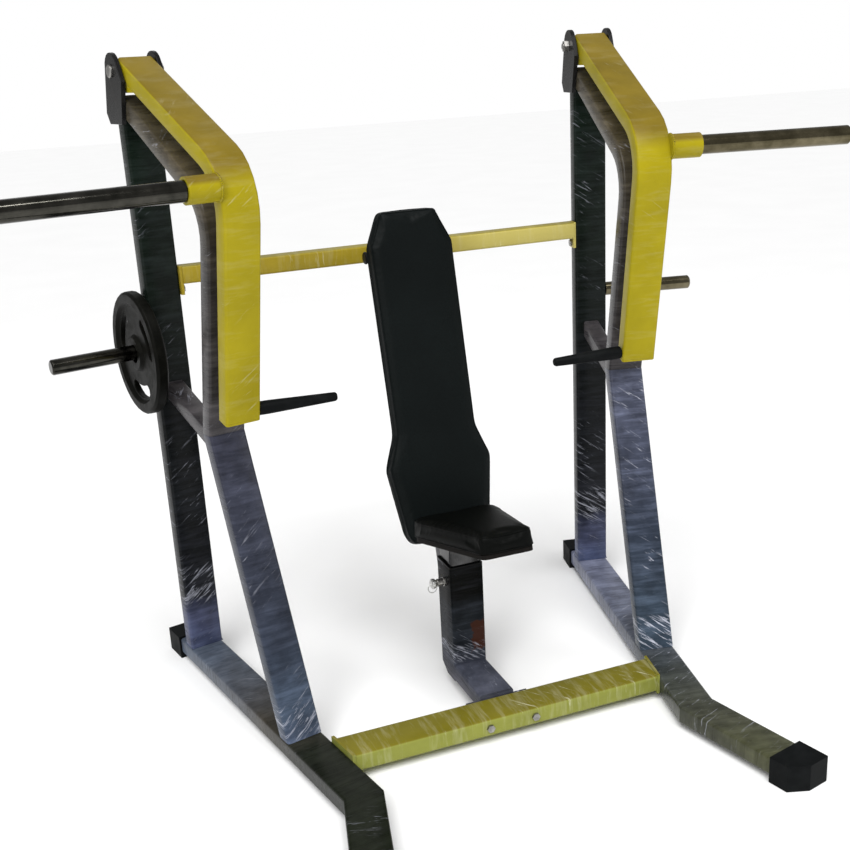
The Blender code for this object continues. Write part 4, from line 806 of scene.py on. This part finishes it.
def weld(points, closed, radius, name, look, body, seed):
    """A rippled weld bead along points."""
    shape = bmesh.new()
    rings = []
    count = len(points)
    for index, point in enumerate(points):
        before = points[index - 1] if (closed or index) else point
        after = points[(index + 1) % count] if (closed or index < count - 1) else point
        ahead = (after - before).normalized()
        reference = Vector((0, 0, 1)) if abs(ahead.z) < 0.9 else Vector((0, 1, 0))
        first = ahead.cross(reference).normalized()
        second = ahead.cross(first)
        rough = noise.noise(point * 90 + Vector((seed, 0, 0)))
        ripple = 1 + 0.22 * math.sin(index * math.tau / 3) + 0.25 * rough
        taper = 1.0 if closed else min(1.0, 0.3 + 0.35 * min(index, count - 1 - index))
        reach = radius * ripple * taper
        rings.append([shape.verts.new(point + (first * math.cos(math.tau * k / 8)
                                               + second * math.sin(math.tau * k / 8)) * reach)
                      for k in range(8)])
    pairs = list(zip(rings, rings[1:])) + ([(rings[-1], rings[0])] if closed else [])
    for before, after in pairs:
        for k in range(8):
            following = (k + 1) % 8
            shape.faces.new((before[k], before[following], after[following], after[k]))
    if not closed:
        shape.faces.new(rings[0])
        shape.faces.new(rings[-1])
    add_piece(name, shape, look, body)


def circle_points(centre, axis, radius, step=0.0016):
    axis = Vector(axis).normalized()
    first = axis.orthogonal().normalized()
    second = axis.cross(first)
    count = 3 * round(math.tau * radius / step / 3)
    return [centre + (first * math.cos(math.tau * k / count)
                      + second * math.sin(math.tau * k / count)) * radius for k in range(count)]


def side_place(side, u, v, height):
    """A point in a side frame: u towards the front, v outwards."""
    run, out = side_directions(side)
    root = Vector((side * HALF_SPACING, FRAME_REAR, height))
    return root + Vector(run) * u + Vector(out) * v


def edge_points(first, second, step=0.0016):
    count = max(4, round((second - first).length / step))
    return [first.lerp(second, index / count) for index in range(count + 1)]


ARM_FACE = 0.0472            # half of the press arm's width, and a hair
HORN_U, HORN_HEIGHT, BOSS_RADIUS = 0.580, 1.482, 0.0325
HANDLE_U, HANDLE_HEIGHT, HANDLE_RADIUS = 0.465, 0.913, 0.0095
UPRIGHT_HALF_U, UPRIGHT_HALF_V = 0.025, 0.050
BOSS_BEAD, HANDLE_BEAD, UPRIGHT_BEAD = 0.0022, 0.0018, 0.0020


def welds():
    """Beads where the tubes meet, in the paint of what they join."""
    for prefix, side in SIDES:
        out = side_directions(side)[1]
        boss = side_place(side, HORN_U, ARM_FACE, HORN_HEIGHT)
        weld(circle_points(boss, out, BOSS_RADIUS), True, BOSS_BEAD, prefix + "boss_weld",
             arms[prefix], prefix + "arm", 1.7 + side)
        handle = side_place(side, HANDLE_U, -ARM_FACE, HANDLE_HEIGHT)
        weld(circle_points(handle, out, HANDLE_RADIUS), True, HANDLE_BEAD, prefix + "handle_weld",
             arms[prefix], prefix + "arm", 5.1 + side)
        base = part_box(prefix + "upright")[0].z + 0.0008
        for index, v in enumerate((-UPRIGHT_HALF_V, UPRIGHT_HALF_V)):
            ends = [side_place(side, u, v, base) for u in (-UPRIGHT_HALF_U, UPRIGHT_HALF_U)]
            weld(edge_points(*ends), False, UPRIGHT_BEAD, f"{prefix}upright_weld_{index}",
                 rails[prefix], "base", 2.3 * index + side)


screws()
welds()
PULL_RING_RADIUS, PULL_RING_WIRE = 0.013, 0.0013
knob_low, knob_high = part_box("pop_pin")
ring_centre = Vector((knob_low.x + 0.004, (knob_low.y + knob_high.y) / 2, knob_low.z + 0.001))
ring_of(ring_centre, Vector((1, 0, 0)), Vector((0, 0, 1)), PULL_RING_RADIUS, PULL_RING_WIRE,
        "pin_pull_ring", bright, "pop_pin")

# ---------------------------------------------------------------- stage

FLOOR_HALF = 30
SKY_LIGHT = 0.35             # what lights the object, while the background itself shows white
floor_shape = bmesh.new()
bmesh.ops.create_grid(floor_shape, x_segments=8, y_segments=8, size=FLOOR_HALF)
floor_mesh = bpy.data.meshes.new("floor")
floor_shape.to_mesh(floor_mesh)
floor_shape.free()
floor_mesh.materials.append(floor_look())
floor = bpy.data.objects.new("floor", floor_mesh)
bpy.context.scene.collection.objects.link(floor)

world = bpy.data.worlds.new("studio")
bpy.context.scene.world = world
world.use_nodes = True
background = world.node_tree.nodes["Background"]
background.inputs["Color"].default_value = (1.0, 1.0, 1.0, 1)
seen = world.node_tree.nodes.new("ShaderNodeLightPath")
strength = world.node_tree.nodes.new("ShaderNodeMapRange")
strength.inputs["To Min"].default_value = SKY_LIGHT
strength.inputs["To Max"].default_value = 1.0
world.node_tree.links.new(seen.outputs["Is Camera Ray"], strength.inputs["Value"])
world.node_tree.links.new(strength.outputs["Result"], background.inputs["Strength"])
sun_data = bpy.data.lights.new("soft_sun", "SUN")
sun_data.energy = 2.6
sun_data.angle = math.radians(50)
sun = bpy.data.objects.new("soft_sun", sun_data)
sun.rotation_euler = (math.radians(28), 0, math.radians(-28))
bpy.context.scene.collection.objects.link(sun)


def area_light(name, place, target, size, power, colour=(1, 1, 1)):
    data = bpy.data.lights.new(name, "AREA")
    data.shape = "RECTANGLE"
    data.size, data.size_y = size
    data.energy = power
    data.color = colour
    light = bpy.data.objects.new(name, data)
    light.location = place
    light.rotation_euler = (Vector(target) - Vector(place)).to_track_quat("-Z", "Y").to_euler()
    bpy.context.scene.collection.objects.link(light)


area_light("key", (-3.2, -3.4, 3.6), (0, 0, 0.8), (1.6, 1.6), 60)
area_light("fill", (3.6, -2.4, 2.6), (0, 0, 0.8), (1.6, 2.0), 30)
area_light("rear", (0.5, 4.0, 3.4), (0, 0, 1.0), (3.0, 1.6), 10)
area_light("top_strip", (0.0, -2.2, 4.6), (-1.0, 0, 1.5), (1.2, 0.25), 26)

camera_data = bpy.data.cameras.new("photo_view")
camera = bpy.data.objects.new("photo_view", camera_data)
bpy.context.scene.collection.objects.link(camera)
camera.location = (-1.0949, -2.616487, 1.7339)
camera.rotation_euler = (math.radians(71.6784), math.radians(3.0545), math.radians(-21.0091))
camera_data.sensor_width = 36
camera_data.lens = 48.211
camera_data.shift_x = 0.00747
camera_data.shift_y = 0.01231
bpy.context.scene.camera = camera
bpy.context.scene.view_settings.view_transform = "Standard"
